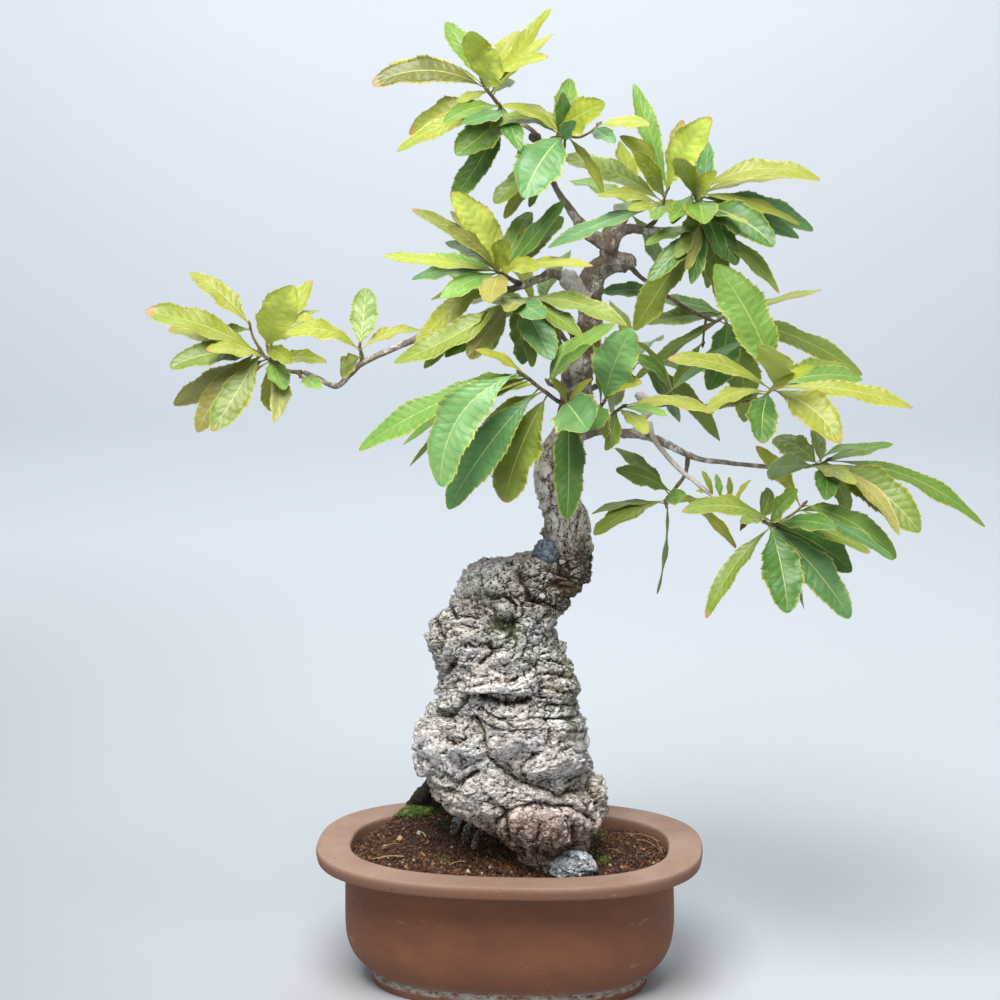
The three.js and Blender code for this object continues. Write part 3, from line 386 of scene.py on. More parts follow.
def corkBark():
    # pale weathered crests over brown flanks and near-black fissures, with lichen green on one side; hollow
    # is 1 in a fissure, and it also carries painted shade in recesses and under blocks and painted light on
    # the lit faces of blocks; above 1 it is near-black painted shade on the shaded root; warm reddens, lichen
    # greens, cool greys the roots
    f = Finish("corkBark", 0.92)
    fine = f.noise(0.0026, 6, 0.75, (1, 1, 1.7))
    blotch = f.noise(0.03, 3)
    streak = f.cells(0.0035, (1, 1, 2.2))
    crease = f.fromMiddle(f.noise(0.0095, 5, 0.6, (1, 1, 1.5)))
    hollow = f.plus(f.attribute("hollow"), f.range(fine, 0.34, 0.66, -0.36, 0.18))
    hollow = f.plus(hollow, f.range(crease, 0.0, 0.045, 0.34, -0.1))
    crest = f.mix(f.range(blotch, 0.35, 0.65), (254, 251, 249), (240, 232, 226))
    flank = f.mix(f.range(fine, 0.35, 0.65), (144, 128, 116), (190, 178, 167))
    fissure = f.mix(f.range(blotch, 0.4, 0.6), (40, 27, 20), (74, 50, 37))
    tall = f.split(f.spot)[2]
    cool = f.attribute("cool")
    low = f.times(f.range(tall, 0.16, 0.245, 1.0, 0.0), f.minus(1.0, cool))
    # the bark made lighter between these heights
    lighterBand = f.times(f.range(tall, 0.17, 0.2), f.range(tall, 0.26, 0.32, 1.0, 0.0))
    hollow = f.minus(hollow, f.times(lighterBand, 0.13))
    depth = f.times(f.minus(hollow, 0.3), f.range(tall, 0.3, 0.4, 1.0, 1.5))
    hollow = f.plus(depth, f.range(tall, 0.37, 0.43, 0.3, 0.24))
    crest = f.mix(f.times(low, 0.9), crest, (250, 224, 200))
    flank = f.mix(f.times(low, 0.85), flank, (156, 106, 76))
    crest = f.mix(cool, crest, (222, 229, 236))
    flank = f.mix(cool, flank, (116, 122, 130))
    colour = f.mix(f.range(hollow, 0.12, 0.38), crest, flank)
    colour = f.mix(f.range(hollow, 0.4, 0.72), colour, fissure)
    # near black where hollow passes 1, as it does on the shaded root behind the trunk: painted shade
    colour = f.mix(f.range(hollow, 1.0, 1.3), colour, (22, 18, 14))
    speck = f.range(streak, 0.12, 0.4, 0.3, 0.0)
    colour = f.mix(speck, colour, (92, 78, 68))
    green = f.times(f.attribute("lichen"), f.range(f.noise(0.022, 4), 0.4, 0.62))
    colour = f.mix(f.times(green, 0.8), colour, (112, 119, 82))
    rust = f.times(f.attribute("warm"), f.range(f.noise(0.03, 4), 0.35, 0.6))
    colour = f.mix(f.times(rust, 0.7), colour, (128, 92, 72))
    flakes = f.times(f.range(streak, 0.0, 0.5), 0.5)
    ledge = f.bump(f.range(crease, 0.0, 0.06), 0.0024, 0.9)
    return f.done(colour, f.bump(f.plus(fine, flakes), 0.0024, 1.0, ledge))


def neckBark():
    # bleached bark in long plates: cream crests, brown where warm is high, dark cracks between plates
    f = Finish("neckBark", 0.88)
    fine = f.noise(0.0022, 5, 0.7, (1, 1, 0.6))
    patch = f.noise(0.026, 4, 0.6, (1, 1, 0.7))
    crease = f.fromMiddle(f.noise(0.013, 5, 0.6, (1.2, 1.2, 0.6)))
    hollow = f.plus(f.attribute("hollow"), f.range(fine, 0.34, 0.66, -0.26, 0.14))
    hollow = f.plus(hollow, f.range(crease, 0.0, 0.03, 0.36, -0.08))
    crest = f.mix(f.range(patch, 0.4, 0.6), (252, 246, 238), (216, 205, 192))
    brown = f.times(f.attribute("warm"), f.range(f.noise(0.017, 4), 0.36, 0.52))
    crest = f.mix(brown, crest, (96, 74, 60))
    # hollow turns crests to flank and crack colours; it carries painted shade in recesses and the tones'
    # painted shade and light
    colour = f.mix(f.range(hollow, 0.16, 0.46), crest, (158, 140, 124))
    colour = f.mix(f.range(hollow, 0.46, 0.78), colour, (56, 42, 34))
    green = f.times(f.attribute("lichen"), f.range(f.noise(0.02, 4), 0.42, 0.6))
    colour = f.mix(f.times(green, 0.5), colour, (112, 110, 80))
    ledge = f.bump(f.range(crease, 0.0, 0.05), 0.0016, 0.8)
    return f.done(colour, f.bump(fine, 0.0014, 0.9, ledge))


def twigBark():
    # smooth grey-brown bark with pale lenticels, browner and smoother on the young ends
    f = Finish("twigBark", 0.7)
    grain = f.noise(0.003, 5, 0.6)
    patch = f.noise(0.014, 3)
    young = f.attribute("young")
    old = f.mix(f.range(patch, 0.4, 0.62), (72, 57, 48), (126, 116, 106))
    shoot = f.mix(f.range(patch, 0.35, 0.65), (124, 98, 66), (152, 140, 84))
    colour = f.mix(young, old, shoot)
    lenticel = f.range(f.cells(0.0035), 0.1, 0.2, 0.7, 0.0)
    colour = f.mix(lenticel, colour, (196, 184, 166))
    colour = f.mix(f.range(grain, 0.42, 0.6, 0.5, 0.0), colour, (70, 54, 44))
    return f.done(colour, f.bump(grain, 0.0008, 0.7))


def leafBlade():
    # the blade's map runs 0 to 1 along it and 0 to 1 across, with the midrib at 0.5;
    # tint is the leaf's own green, under is 1 on the lower face, dry browns the tip and border
    f = Finish("leafBlade", 0.44, Specular_IOR_Level=0.5, Subsurface_Weight=0.45, Subsurface_Scale=0.0014,
               Subsurface_Radius=(1.0, 1.0, 0.3))
    blade = f.node("ShaderNodeUVMap", uv_map="blade").outputs[0]
    along, across, _ = f.split(blade)
    fromRib = f.fromMiddle(across)
    under = f.attribute("under")
    dry = f.attribute("dry")
    # side veins leave the rib and bend towards the tip, one to each tooth
    phase = f.minus(f.times(along, f.attribute("veins")), f.times(fromRib, 3.4))
    wave = f.maths("PINGPONG", phase, 0.5)
    vein = f.range(wave, 0.0, 0.06, 1.0, 0.0)
    ribHalf = f.range(along, 0.0, 1.0, 0.022, 0.008)
    rib = f.range(f.maths("DIVIDE", fromRib, ribHalf), 0.5, 1.2, 1.0, 0.0)
    mottle = f.noise(0.012, 4)
    cloud = f.noise(0.03, 2)
    base = f.attribute("tint", "Color")
    lighter = f.mix(0.3, base, (196, 202, 112))
    darker = f.mix(0.35, base, (66, 110, 40))
    colour = f.mix(f.range(cloud, 0.35, 0.65, 0.0, 0.55), base, darker)
    colour = f.mix(f.range(mottle, 0.35, 0.65, 0.0, 0.3), colour, lighter)
    matt = f.mix(0.45, base, (176, 184, 122))
    colour = f.mix(f.times(under, 0.7), colour, matt)
    colour = f.mix(f.times(vein, 0.32), colour, lighter)
    colour = f.mix(f.times(rib, 0.65), colour, (204, 208, 132))
    edge = f.range(fromRib, 0.435, 0.49)
    colour = f.mix(f.times(edge, 0.6), colour, (206, 200, 104))
    scorch = f.times(dry, f.range(along, 0.86, 0.99))
    rim = f.times(dry, f.times(edge, f.range(f.noise(0.02, 3), 0.5, 0.66)))
    scorch = f.range(f.plus(scorch, f.range(mottle, 0.3, 0.7, -0.22, 0.16)), 0.42, 0.66)
    burnt = f.maths("MAXIMUM", scorch, rim)
    colour = f.mix(f.times(burnt, 0.75), colour, (176, 128, 84))
    spots = f.range(f.cells(0.012), 0.03, 0.06, 0.8, 0.0)
    colour = f.mix(f.times(spots, f.times(dry, 0.7)), colour, (128, 92, 50))
    height = f.minus(f.range(wave, 0.0, 0.4), f.times(vein, 0.4))
    normal = f.bump(f.plus(height, f.times(mottle, 0.4)), 0.0004, 0.5)
    return f.done(colour, normal)


def brownClay():
    # unglazed stoneware: fine grit, faint throwing streaks, a paler rim that is painted light, lime by the
    # foot
    f = Finish("brownClay", 0.74)
    cloud = f.noise(0.05, 4, 0.6, (1, 1, 1.6))
    grit = f.noise(0.0016, 3, 0.7)
    body = f.mix(f.range(cloud, 0.3, 0.7), (114, 66, 43), (136, 84, 56))
    rim = f.mix(f.range(cloud, 0.3, 0.7), (156, 129, 112), (142, 111, 94))
    # the rim painted paler than the body: painted light
    colour = f.mix(f.attribute("rimLight"), body, rim)
    colour = f.mix(f.range(grit, 0.4, 0.62, 0.22, 0.0), colour, (96, 62, 48))
    scuff = f.range(f.noise(0.035, 5, 0.7, (1, 1, 2.2)), 0.64, 0.76, 0.0, 0.45)
    colour = f.mix(scuff, colour, (196, 172, 152))
    lime = f.times(f.attribute("lime"), f.range(f.noise(0.009, 5, 0.7, (1, 1, 2)), 0.38, 0.58))
    colour = f.mix(lime, colour, (168, 166, 154))
    dark = f.times(f.attribute("lime"), f.range(f.noise(0.0045, 4), 0.58, 0.66))
    colour = f.mix(f.times(dark, 0.85), colour, (58, 46, 38))
    dots = f.range(f.cells(0.028), 0.04, 0.055, 0.75, 0.0)
    colour = f.mix(dots, colour, (70, 44, 36))
    f.set("Roughness", f.range(cloud, 0.3, 0.7, 0.62, 0.8))
    ripple = f.noise(0.02, 2, 0.5, (0.5, 0.5, 3))
    normal = f.bump(f.plus(grit, f.times(ripple, 1.2)), 0.0009, 0.5)
    return f.done(colour, normal)


def grainFinish():
    # fired granules and grit, each with its own tint
    f = Finish("soilGrains", 0.95)
    fine = f.noise(0.0012, 3, 0.7)
    colour = f.mix(f.range(fine, 0.3, 0.7, 0.0, 0.45), f.attribute("tint", "Color"), (48, 30, 20))
    return f.done(colour, f.bump(fine, 0.0006, 0.7))


def mossFinish():
    # dark and fresh green in fine cushions, with yellow-green patches, and darker where low is 1
    f = Finish("moss", 0.8)
    fine = f.noise(0.003, 3)
    patch = f.noise(0.011, 3)
    colour = f.mix(f.range(fine, 0.3, 0.7), (44, 70, 24), (104, 138, 46))
    colour = f.mix(f.range(patch, 0.5, 0.62, 0.0, 0.75), colour, (176, 190, 92))
    return f.done(f.mix(f.attribute("low"), colour, (34, 46, 16)))


def woundPaste():
    # dried grey-blue sealing paste, cracked through, with dust on its crests
    f = Finish("woundPaste", 0.62)
    fine = f.noise(0.003, 4)
    colour = f.mix(f.range(fine, 0.35, 0.65), (88, 96, 110), (132, 141, 154))
    colour = f.mix(f.attribute("crack"), colour, (30, 32, 38))
    return f.done(colour, f.bump(fine, 0.0008, 0.6))


def deadStraw():
    # pale brown, browner in places
    f = Finish("deadStraw", 0.8)
    fine = f.noise(0.004, 4)
    return f.done(f.mix(f.range(fine, 0.3, 0.7), (188, 158, 122), (132, 100, 74)))


def paleWood():
    # the bared, bleached wood of old stubs: fine lines along the grain over a cream ground
    f = Finish("paleWood", 0.8)
    line = f.noise(0.003, 4, 0.6, (3, 3, 0.6))
    colour = f.mix(f.range(line, 0.35, 0.65), (160, 148, 136), (214, 208, 202))
    return f.done(colour, f.bump(line, 0.0008, 0.7))


def plainPlastic():
    # the drain meshes' near-black plastic, a little paler between its dots
    f = Finish("drainMesh", 0.6)
    return f.done(f.mix(f.cells(0.003), (26, 30, 29), (52, 58, 56)))


# Pot

pot = {
    "height": 144.0, "rimHalf": (198.0, 140.0), "rimWidth": 35.0, "overhang": 29.0, "lip": 13.5,
    "footHalf": (142.0, 92.0), "footHeight": 10.0, "footWidth": 11.0, "floorTop": 22.0, "belly": 59.0,
    "wall": 8.0, "power": 2.5, "yaw": math.radians(-4.5), "pad": 26.0, "sides": 220,
    "notchHalf": 5.5, "notchDepth": 6.0, "holeRadius": 9.0, "holeOffset": 82.0, "drill": 30.0,
    "arcStep": 1.6, "ringStep": 6.0, "waves": ((60, 0.7, 3), (17, 0.25, 4)),  # size, height, salt
}
soilShape = {
    "edge": 132.0, "mound": 20.0, "gap": 1.6, "centre": (24.0, -18.0), "fall": 1.6, "sides": 200, "rings": 52,
    "hillock": (-84.0, 44.0), "hillockHalf": (56.0, 46.0), "hillockRise": 34.0,
    "bedDrop": 1.4, "bottom": 24.0,
    "below": ((24.0, 0.84), (32.0, 0.9), (60.0, 0.965), (118.0, 0.992)),  # height, share of the pot's oval
    "colour": (54, 36, 25),
}
potAlong = np.array([math.cos(pot["yaw"]), math.sin(pot["yaw"])])
potAcross = np.array([-math.sin(pot["yaw"]), math.cos(pot["yaw"])])
mouthHalf = np.array([half - pot["rimWidth"] for half in pot["rimHalf"]])


def turned(local):
    # from the pot's own length and depth directions to X and Y
    return local[..., 0:1] * potAlong + local[..., 1:2] * potAcross


def turnedBack(spots):
    # from X and Y to the pot's own directions
    return np.stack([spots @ potAlong, spots @ potAcross], -1)


def ovalNorm(local, half):
    # (|x/a|^n + |y/b|^n)^(1/n): 1 on a superellipse of those half sizes, less inside it
    power = pot["power"]
    across, along = (np.abs(local[..., k] / half[k]) ** power for k in (0, 1))
    return (across + along) ** (1 / power)


def filleted(rows):
    # a polyline through rows [half length, half depth, z, corner radius, painted rim light, lime], each
    # corner replaced by a quadratic arc that starts and ends its radius away
    out = [rows[0]]
    for before, corner, after in zip(rows[:-2], rows[1:-1], rows[2:]):
        back, ahead = before - corner, after - corner
        long = [np.linalg.norm(way[:3]) for way in (back, ahead)]
        reach = min(corner[3], 0.48 * long[0], 0.48 * long[1])
        start, end = corner + back * reach / long[0], corner + ahead * reach / long[1]
        for t in np.linspace(0, 1, 3 + int(reach / pot["arcStep"])):
            out.append((1 - t) ** 2 * start + 2 * t * (1 - t) * corner + t ** 2 * end)
    out.append(rows[-1])
    dense = [out[0]]
    for a, b in zip(out[:-1], out[1:]):
        parts = max(1, int(np.linalg.norm((b - a)[:3]) / pot["ringStep"]))
        dense.extend(a + (b - a) * k / parts for k in range(1, parts + 1))
    return np.array(dense)


def potProfile():
    # from the foot's middle up the outside, over the lip and down the inside: (oval, how much larger, z,
    # corner radius, painted rim light, lime), the last two 0 where left out
    top, under, floor = pot["height"], pot["height"] - pot["lip"], pot["floorTop"]
    foot, rim, middle, pad = pot["footHalf"], pot["rimHalf"], (0.5, 0.5), (pot["pad"], pot["pad"])
    body = [half - pot["overhang"] for half in rim]
    outline = [
        (middle, 0, 0, 0), (pad, 0, 0, 0.6), (pad, 0, pot["footHeight"], 2),
        (foot, -pot["footWidth"], pot["footHeight"], 3), (foot, -pot["footWidth"], 0, 1.5), (foot, 0, 0, 1.6),
        (foot, 0.4, 6.8, 0.5, 0, 0.1), (foot, 0.4, 8.2, 0.5, 0, 1), (foot, 0, 14, 0.5, 0, 1),
        (foot, 1.6, 15, 0.8, 0, 0.35), (foot, (10, 7.5), 21.5, 5), (body, (-7.5, -6.5), 31, 9),
        (body, -2, 44, 12), (body, 0, pot["belly"], 16), (body, 0, under - 12, 6), (body, 0.5, under, 3.5),
        # the rim rows' fifth numbers are painted light: most on the top, less on the outer face, least under
        # the lip
        (rim, -1.5, under, 2.4, 0.2), (rim, 0, top - 4, 4, 0.45), (rim, -1.2, top, 3.2, 1),
        (mouthHalf, 9, top - 0.2, 3, 1), (mouthHalf, 0, top - 0.6, 3.4, 1),
        (mouthHalf, -0.5, soilShape["edge"] - 4, 4, 0.2), (body, -pot["wall"], pot["belly"], 12),
        (foot, 6, floor + 6, 6), (foot, -4, floor, 6), (middle, 0, floor, 0),
    ]
    rows = np.zeros((len(outline), 6))
    for row, (half, larger, *rest) in zip(rows, outline):
        row[:2] = np.array(half) + larger
        row[2:2 + len(rest)] = rest
    return filleted(rows)


def buildPot():
    # rings of one superellipse after another along the profile, radius 1 / ovalNorm at each turn
    profile = potProfile()
    way = circle(pot["sides"])
    radius = 1 / ovalNorm(way, (profile[:, :1], profile[:, 1:2]))
    local = radius[..., None] * way
    z = np.broadcast_to(profile[:, 2:3, None], (*radius.shape, 1))
    points = np.concatenate([turned(local), z], -1)
    # the drainage notch in the foot, front and back
    notch = pot["notchDepth"] * np.clip((pot["notchHalf"] + 1 - np.abs(local[..., 0])) / 1.6, 0, 1)
    footPart = (points[..., 2] < pot["notchDepth"]) & (radius > pot["pad"] + 14)
    points[..., 2] = np.where(footPart, np.maximum(points[..., 2], notch), points[..., 2])
    # hand-finished clay: slow waves above the foot
    loose = points.reshape(-1, 3)
    wobble = sum(high * softNoise(loose, size, salt) for size, high, salt in pot["waves"])
    above = np.clip((loose[:, 2] - pot["floorTop"] + 2) / 20, 0, 1)
    outward = unit(loose * [1, 1, 0])
    points = (loose + outward * (wobble * above)[:, None]).reshape(points.shape)
    values = {key: np.append(np.repeat(profile[:, k], pot["sides"]), [0, 0])
              for k, key in ((4, "rimLight"), (5, "lime"))}
    piece = addMesh("pot_clay", *capped(points, [(0, 0, 0), (0, 0, pot["floorTop"])]), None, values)
    return seat(drillDrains(piece), "clay", brownClay(), "pot")


def drillDrains(piece):
    # two drain holes through the floor, cut with upright cylinders
    for end in (-1, 1):
        size = {"radius": pot["holeRadius"] * mm, "depth": pot["drill"] * mm}
        bpy.ops.mesh.primitive_cylinder_add(vertices=40, **size)
        cutter = bpy.context.object
        spot = potAlong * end * pot["holeOffset"]
        cutter.data.transform(Matrix.Translation(Vector((*spot, pot["floorTop"] - 4)) * mm))
        cut = piece.modifiers.new("drain", "BOOLEAN")
        cut.operation, cut.solver, cut.object = "DIFFERENCE", "EXACT", cutter
        cutMesh = bpy.data.meshes.new_from_object(piece.evaluated_get(bpy.context.evaluated_depsgraph_get()))
        piece.modifiers.clear()
        piece.data = cutMesh
        bpy.data.objects.remove(cutter)
    return piece


# Soil and what lies on it

def soilHeight(spots):
    # a low mound: a point's share of the way out to the pot's wall is found by repeated narrowing,
    # and the height falls with share^1.6; a bell-shaped hillock stands behind the trunk
    local = turnedBack(spots)
    centre = np.array(soilShape["centre"])
    half = mouthHalf - soilShape["gap"]
    share = np.full(len(spots), 0.5)
    for _ in range(9):
        share = np.clip(ovalNorm(local - centre * (1 - share)[:, None], half), 0, 1.2)
    away = (spots - np.array(soilShape["hillock"])) / np.array(soilShape["hillockHalf"])
    hillock = soilShape["hillockRise"] * np.exp(-np.sum(away ** 2, 1) * 1.3) * np.clip((1 - share) * 6, 0, 1)
    return soilShape["edge"] + soilShape["mound"] * (1 - np.clip(share, 0, 1) ** soilShape["fall"]) + hillock


def onSoil(spots, lift=0.0):
    # the first place where the line of sight through each view-plane spot [x, z] drops under the soil
    spots = np.atleast_2d(spots).astype(float)
    found = np.zeros((len(spots), 3))
    waiting = np.ones(len(spots), bool)
    depths = np.arange(-125.0, 126.0, 1.0)
    for depth in depths:
        p = place(np.column_stack([spots, np.full(len(spots), depth)]))
        height = soilHeight(p[:, :2])
        hit = waiting & ((p[:, 2] <= height) | (depth == depths[-1]))
        found[hit] = np.column_stack([p[hit, :2], height[hit] + lift])
        waiting &= ~hit
    return found


def buildSoil(material):
    # a closed sheet over the mound: polar rings of the pot's oval, with sides down the cavity
    way = circle(soilShape["sides"])
    reach = (1 / ovalNorm(way, mouthHalf - soilShape["gap"]))[:, None] * way
    shares = np.linspace(1, 0.04, soilShape["rings"])[:, None, None]
    top = turned(shares * reach).reshape(-1, 2)
    sheet = np.column_stack([top, soilHeight(top)])
    sheet[:, 2] += 0.9 * roughNoise(sheet, 9, 31, 3) - soilShape["bedDrop"]
    below = [np.column_stack([turned(share * reach), np.full(len(way), height)])
             for height, share in soilShape["below"]]
    grid = np.vstack([*below, sheet]).reshape(-1, len(way), 3)
    peak = soilHeight(np.zeros((1, 2)))[0] - soilShape["bedDrop"]
    points, quads, tris = capped(grid, [(0, 0, soilShape["bottom"]), (0, 0, peak)])
    colours = np.tile(paint(*soilShape["colour"])[:3], (len(points), 1))
    return seat(addMesh("soil_bed", points, quads, tris, colours), "soil", material, "soil")


# a twenty-sided solid: corners at (0, 1, golden) with both signs, turned through the three axes
lumpPoints = unit(np.array([(-1, golden, 0), (1, golden, 0), (-1, -golden, 0), (1, -golden, 0),
                            (0, -1, golden), (0, 1, golden), (0, -1, -golden), (0, 1, -golden),
                            (golden, 0, -1), (golden, 0, 1), (-golden, 0, -1), (-golden, 0, 1)]))
lumpFaces = np.array([(0, 11, 5), (0, 5, 1), (0, 1, 7), (0, 7, 10), (0, 10, 11), (1, 5, 9), (5, 11, 4),
                      (11, 10, 2), (10, 7, 6), (7, 1, 8), (3, 9, 4), (3, 4, 2), (3, 2, 6), (3, 6, 8),
                      (3, 8, 9), (4, 9, 5), (2, 4, 11), (6, 2, 10), (8, 6, 7), (9, 8, 1)])


lumpLook = {"corners": (0.72, 1.18), "axes": (0.75, 1.2)}  # how far they are pushed and stretched


def lumps(name, middles, sizes, colours, material):
    # one lump for each middle, its corners pushed in and out, its axes stretched, turned any way
    count = len(middles)
    corners = len(lumpPoints)
    shape = lumpPoints[None] * rng.uniform(*lumpLook["corners"], (count, corners, 1))
    shape = shape * rng.uniform(*lumpLook["axes"], (count, 1, 3))
    spin, _ = np.linalg.qr(rng.normal(size=(count, 3, 3)))
    spin *= np.sign(np.linalg.det(spin))[:, None, None]
    points = np.einsum("nij,nkj->nki", spin, shape) * sizes[:, None, None] + middles[:, None]
    faces = (lumpFaces[None] + corners * np.arange(count)[:, None, None]).reshape(-1, 3)
    piece = addMesh(name, points.reshape(-1, 3), None, faces, np.repeat(colours, corners, 0), smooth=False)
    return seat(piece, "soil", material)


clearings = {"trunk": (36.0, 37.0), "root": (20.0, 10.0)}  # half sizes of the ovals kept free


def clearOfTrunk(spots, grow=0.0):
    # True where a spot on the soil is outside the trunk's base and the root's
    clear = True
    ovals = ((trunkBase["middle"], clearings["trunk"]), (knuckle["middle"][:2], clearings["root"]))
    for middle, half in ovals:
        away = (spots - np.array(middle)) / (np.array(half) + grow)
        clear = clear & (np.sum(away ** 2, 1) > 1)
    return clear


grains = {
    "count": 5600, "size": (1.1, 2.3), "large": (0.07, 1.4), "jitter": 0.7, "inset": 2.5, "sunk": (-1.2, 0.7),
    # red-brown, brown, tan, dark, pale and grey grains, and the share of each
    "kinds": ((102, 67, 44), (84, 54, 36), (126, 88, 58), (62, 40, 28), (176, 142, 102), (136, 128, 114)),
    "shares": (0.39, 0.29, 0.14, 0.14, 0.028, 0.012), "shadeFrom": 158, "shade": 0.4,
}


def scatterGrains(material):
    # grains on a jittered spiral of equal areas: radius sqrt(k/n), turned by the golden angle each time
    p = grains
    k = np.arange(p["count"]) + 0.5
    turn = k * math.pi * (3 - math.sqrt(5))
    way = np.stack([np.cos(turn), np.sin(turn)], -1)
    radius = np.sqrt(k / p["count"]) / ovalNorm(way, mouthHalf - p["inset"])
    local = way * radius[:, None] + rng.normal(0, p["jitter"], (p["count"], 2))
    spots = turned(local)
    keep = clearOfTrunk(spots, -1.0) & (ovalNorm(local, mouthHalf - p["inset"] + 0.1) < 1)
    spots = spots[keep]
    chance, larger = p["large"]
    sizes = rng.uniform(*p["size"], len(spots)) * np.where(rng.random(len(spots)) < chance, larger, 1.0)
    height = soilHeight(spots)
    z = height + rng.uniform(*p["sunk"], len(spots)) - 0.2
    pick = rng.choice(len(p["kinds"]), len(spots), p=p["shares"])
    shade = p["shade"] * np.clip((height - p["shadeFrom"]) / 12, 0, 1)
    colours = np.array([paint(*kind)[:3] for kind in p["kinds"]])[pick]
    colours = colours * rng.uniform(0.5, 1.4, (len(spots), 1)) * (1 - shade)[:, None]
    lumps("soil_grains", np.column_stack([spots, z]), sizes, colours, material)


# the few pale stones and flakes seen on the soil: x, z on the view plane, size, screen colour
stones = [
    (-151, 174, 3.6, (222, 206, 176)), (-110, 161, 3.4, (206, 176, 134)), (-91, 166, 3.2, (196, 196, 192)),
    (-42, 128, 2.8, (208, 186, 156)), (-96, 139, 2.0, (190, 178, 160)), (-28, 126, 1.8, (212, 196, 170)),
    (-20, 132, 2.0, (198, 180, 150)), (36, 127, 2.2, (204, 186, 150)), (-58, 152, 2.0, (170, 164, 154)),
    (134, 150, 2.0, (186, 160, 120)), (100, 134, 2.2, (200, 180, 148)),
]


def scatterStones(material):
    # larger lumps at the stones' places
    middles = onSoil([row[:2] for row in stones], 1.4)
    colours = np.array([paint(*row[3])[:3] for row in stones])
    lumps("soil_stones", middles, np.array([row[2] for row in stones]), colours, material)


moss = {
    # x, z on the view plane, half width, half depth, number of blades; thickest behind the trunk
    "patches": [(-102, 190, 13, 5, 1100), (-88, 191, 11, 6, 900), (-118, 186, 9, 3, 260),
                (-60, 176, 12, 5, 90),
                (86, 166, 7, 4, 130), (92, 140, 8, 4, 140), (-66, 141, 8, 4, 60), (80, 146, 9, 4, 110)],
    "tall": (2.2, 5.0), "lean": 0.45, "foot": 0.55, "sunk": 0.6,
}


def growMoss():
    # tufts of leaning three-sided blades; low is 1 at a blade's foot and 0 at its tip
    spots = []
    for x, z, wide, deep, count in moss["patches"]:
        spots.append(np.column_stack([rng.normal(x, wide * 0.6, count), rng.normal(z, deep * 0.6, count)]))
    feet = onSoil(np.vstack(spots), -moss["sunk"])
    feet = feet[clearOfTrunk(feet[:, :2], 2.0)]
    feet = feet[ovalNorm(turnedBack(feet[:, :2]), mouthHalf - 3) < 1]
    count = len(feet)
    lean = unit(np.column_stack([rng.normal(0, moss["lean"], (count, 2)), np.ones(count)]))
    tall = rng.uniform(*moss["tall"], count)
    turn = rng.uniform(0, 2 * math.pi, count)[:, None] + np.arange(3) * 2 * math.pi / 3
    ring = np.stack([np.cos(turn), np.sin(turn), np.zeros_like(turn)], -1) * moss["foot"]
    points = np.concatenate([feet[:, None] + ring, (feet + lean * tall[:, None])[:, None]], 1)
    start = 4 * np.arange(count)[:, None, None]
    faces = (np.array([(0, 1, 3), (1, 2, 3), (2, 0, 3), (0, 2, 1)])[None] + start).reshape(-1, 3)
    values = {"low": np.tile([1.0, 1.0, 1.0, 0.0], count)}
    seat(addMesh("moss", points.reshape(-1, 3), None, faces, None, values), "soil", mossFinish())


# dead needles and rootlets on the soil: x, z of one end and of the other, bow, thickness
straws = [
    (-138, 140, -106, 143, 2, 0.75), (118, 166, 150, 158, 5, 0.35), (126, 160, 152, 148, 7, 0.32),
    (142, 163, 153, 146, 3, 0.3), (-92, 168, -84, 162, 2, 0.9), (-128, 150, -112, 156, 2, 0.4),
    (96, 150, 112, 146, 2, 0.4), (-60, 134, -44, 138, 2, 0.45), (60, 124, 70, 128, 2, 0.4),
]


def layStraw():
    # thin tubes along bowed curves that lie on the soil
    bundle = Bundle()
    for x1, z1, x2, z2, bow, radius in straws:
        ends = onSoil([(x1, z1), (x2, z2)], 1.6)
        middle = ends.mean(0) + np.array([0, bow, 1.2])
        path = smoothPath(np.vstack([ends[0], middle, ends[1]]), 1.5)
        path += 0.5 * drift(path, 6, (41, 42, 43))
        bundle.add(*capped(tubeGrid(path, np.full(len(path), radius), 6)[0]))
    seat(bundle.build("straw"), "soil", deadStraw())


# Trunk

# level oval rings up the trunk: [z, left, right, depth of the middle, half depth] on the view plane
trunkOutline = [
    [178, -30, 86, -42, 48], [188, -50, 97, -42, 55], [195, -56, 100, -42, 59], [207, -76, 98, -41, 62],
    [219, -85, 93, -40, 65], [231, -87, 86, -39, 67], [239, -95, 81, -38, 68], [251, -96, 76, -37, 67],
    [263, -95, 77, -35, 66], [275, -93, 77, -33, 64], [287, -83, 71, -31, 60], [299, -70, 67, -30, 58],
    [311, -72, 70, -29, 58], [324, -69, 66, -27, 57], [336, -73, 60, -26, 56], [350, -78, 52, -25, 56],
    [360, -82, 45, -24, 56], [372, -81, 44, -21, 55], [384, -75, 49, -18, 53], [396, -62, 59, -15, 50],
    [408, -56, 66, -12, 47], [420, -49, 75, -9, 42], [433, -38, 81, -5, 36], [441, -8, 84, -3, 30],
    [449, 36, 86, -1, 25], [467, 32, 81, 0, 23], [481, 32, 78, 0, 22], [495, 28, 73, 0, 22],
    [512, 23, 68, 0, 22], [531, 20, 66, 0, 22], [553, 28, 71, 0, 21], [572, 43, 81, -2, 19],
    [600, 50, 84, -4, 17], [626, 50, 84, -5, 16], [656, 57, 91, -6, 16], [683, 67, 95, -7, 14],
    [706, 65, 93, -7, 13], [721, 71, 96, -7, 12], [731, 77, 97, -7, 10],
]
trunkBase = {"middle": (42.0, -45.0), "half": (33.0, 34.0), "low": 108.0, "top": 148.0}
# the bark's skin, in three pieces that overlap a little: rings from and to a z of the view plane
trunkParts = {
    "trunk_cork": {"from": None, "to": 290, "over": (0, 1), "sides": 340, "strength": 1.0, "tall": 1.0},
    "trunk_shoulder": {"from": 290, "to": 462, "over": (0, 6), "sides": 300, "strength": 1.0, "tall": 1.0},
    "trunk_neck": {"from": 462, "to": None, "over": (8, 0), "sides": 140, "strength": 1.15, "tall": 0.5},
}
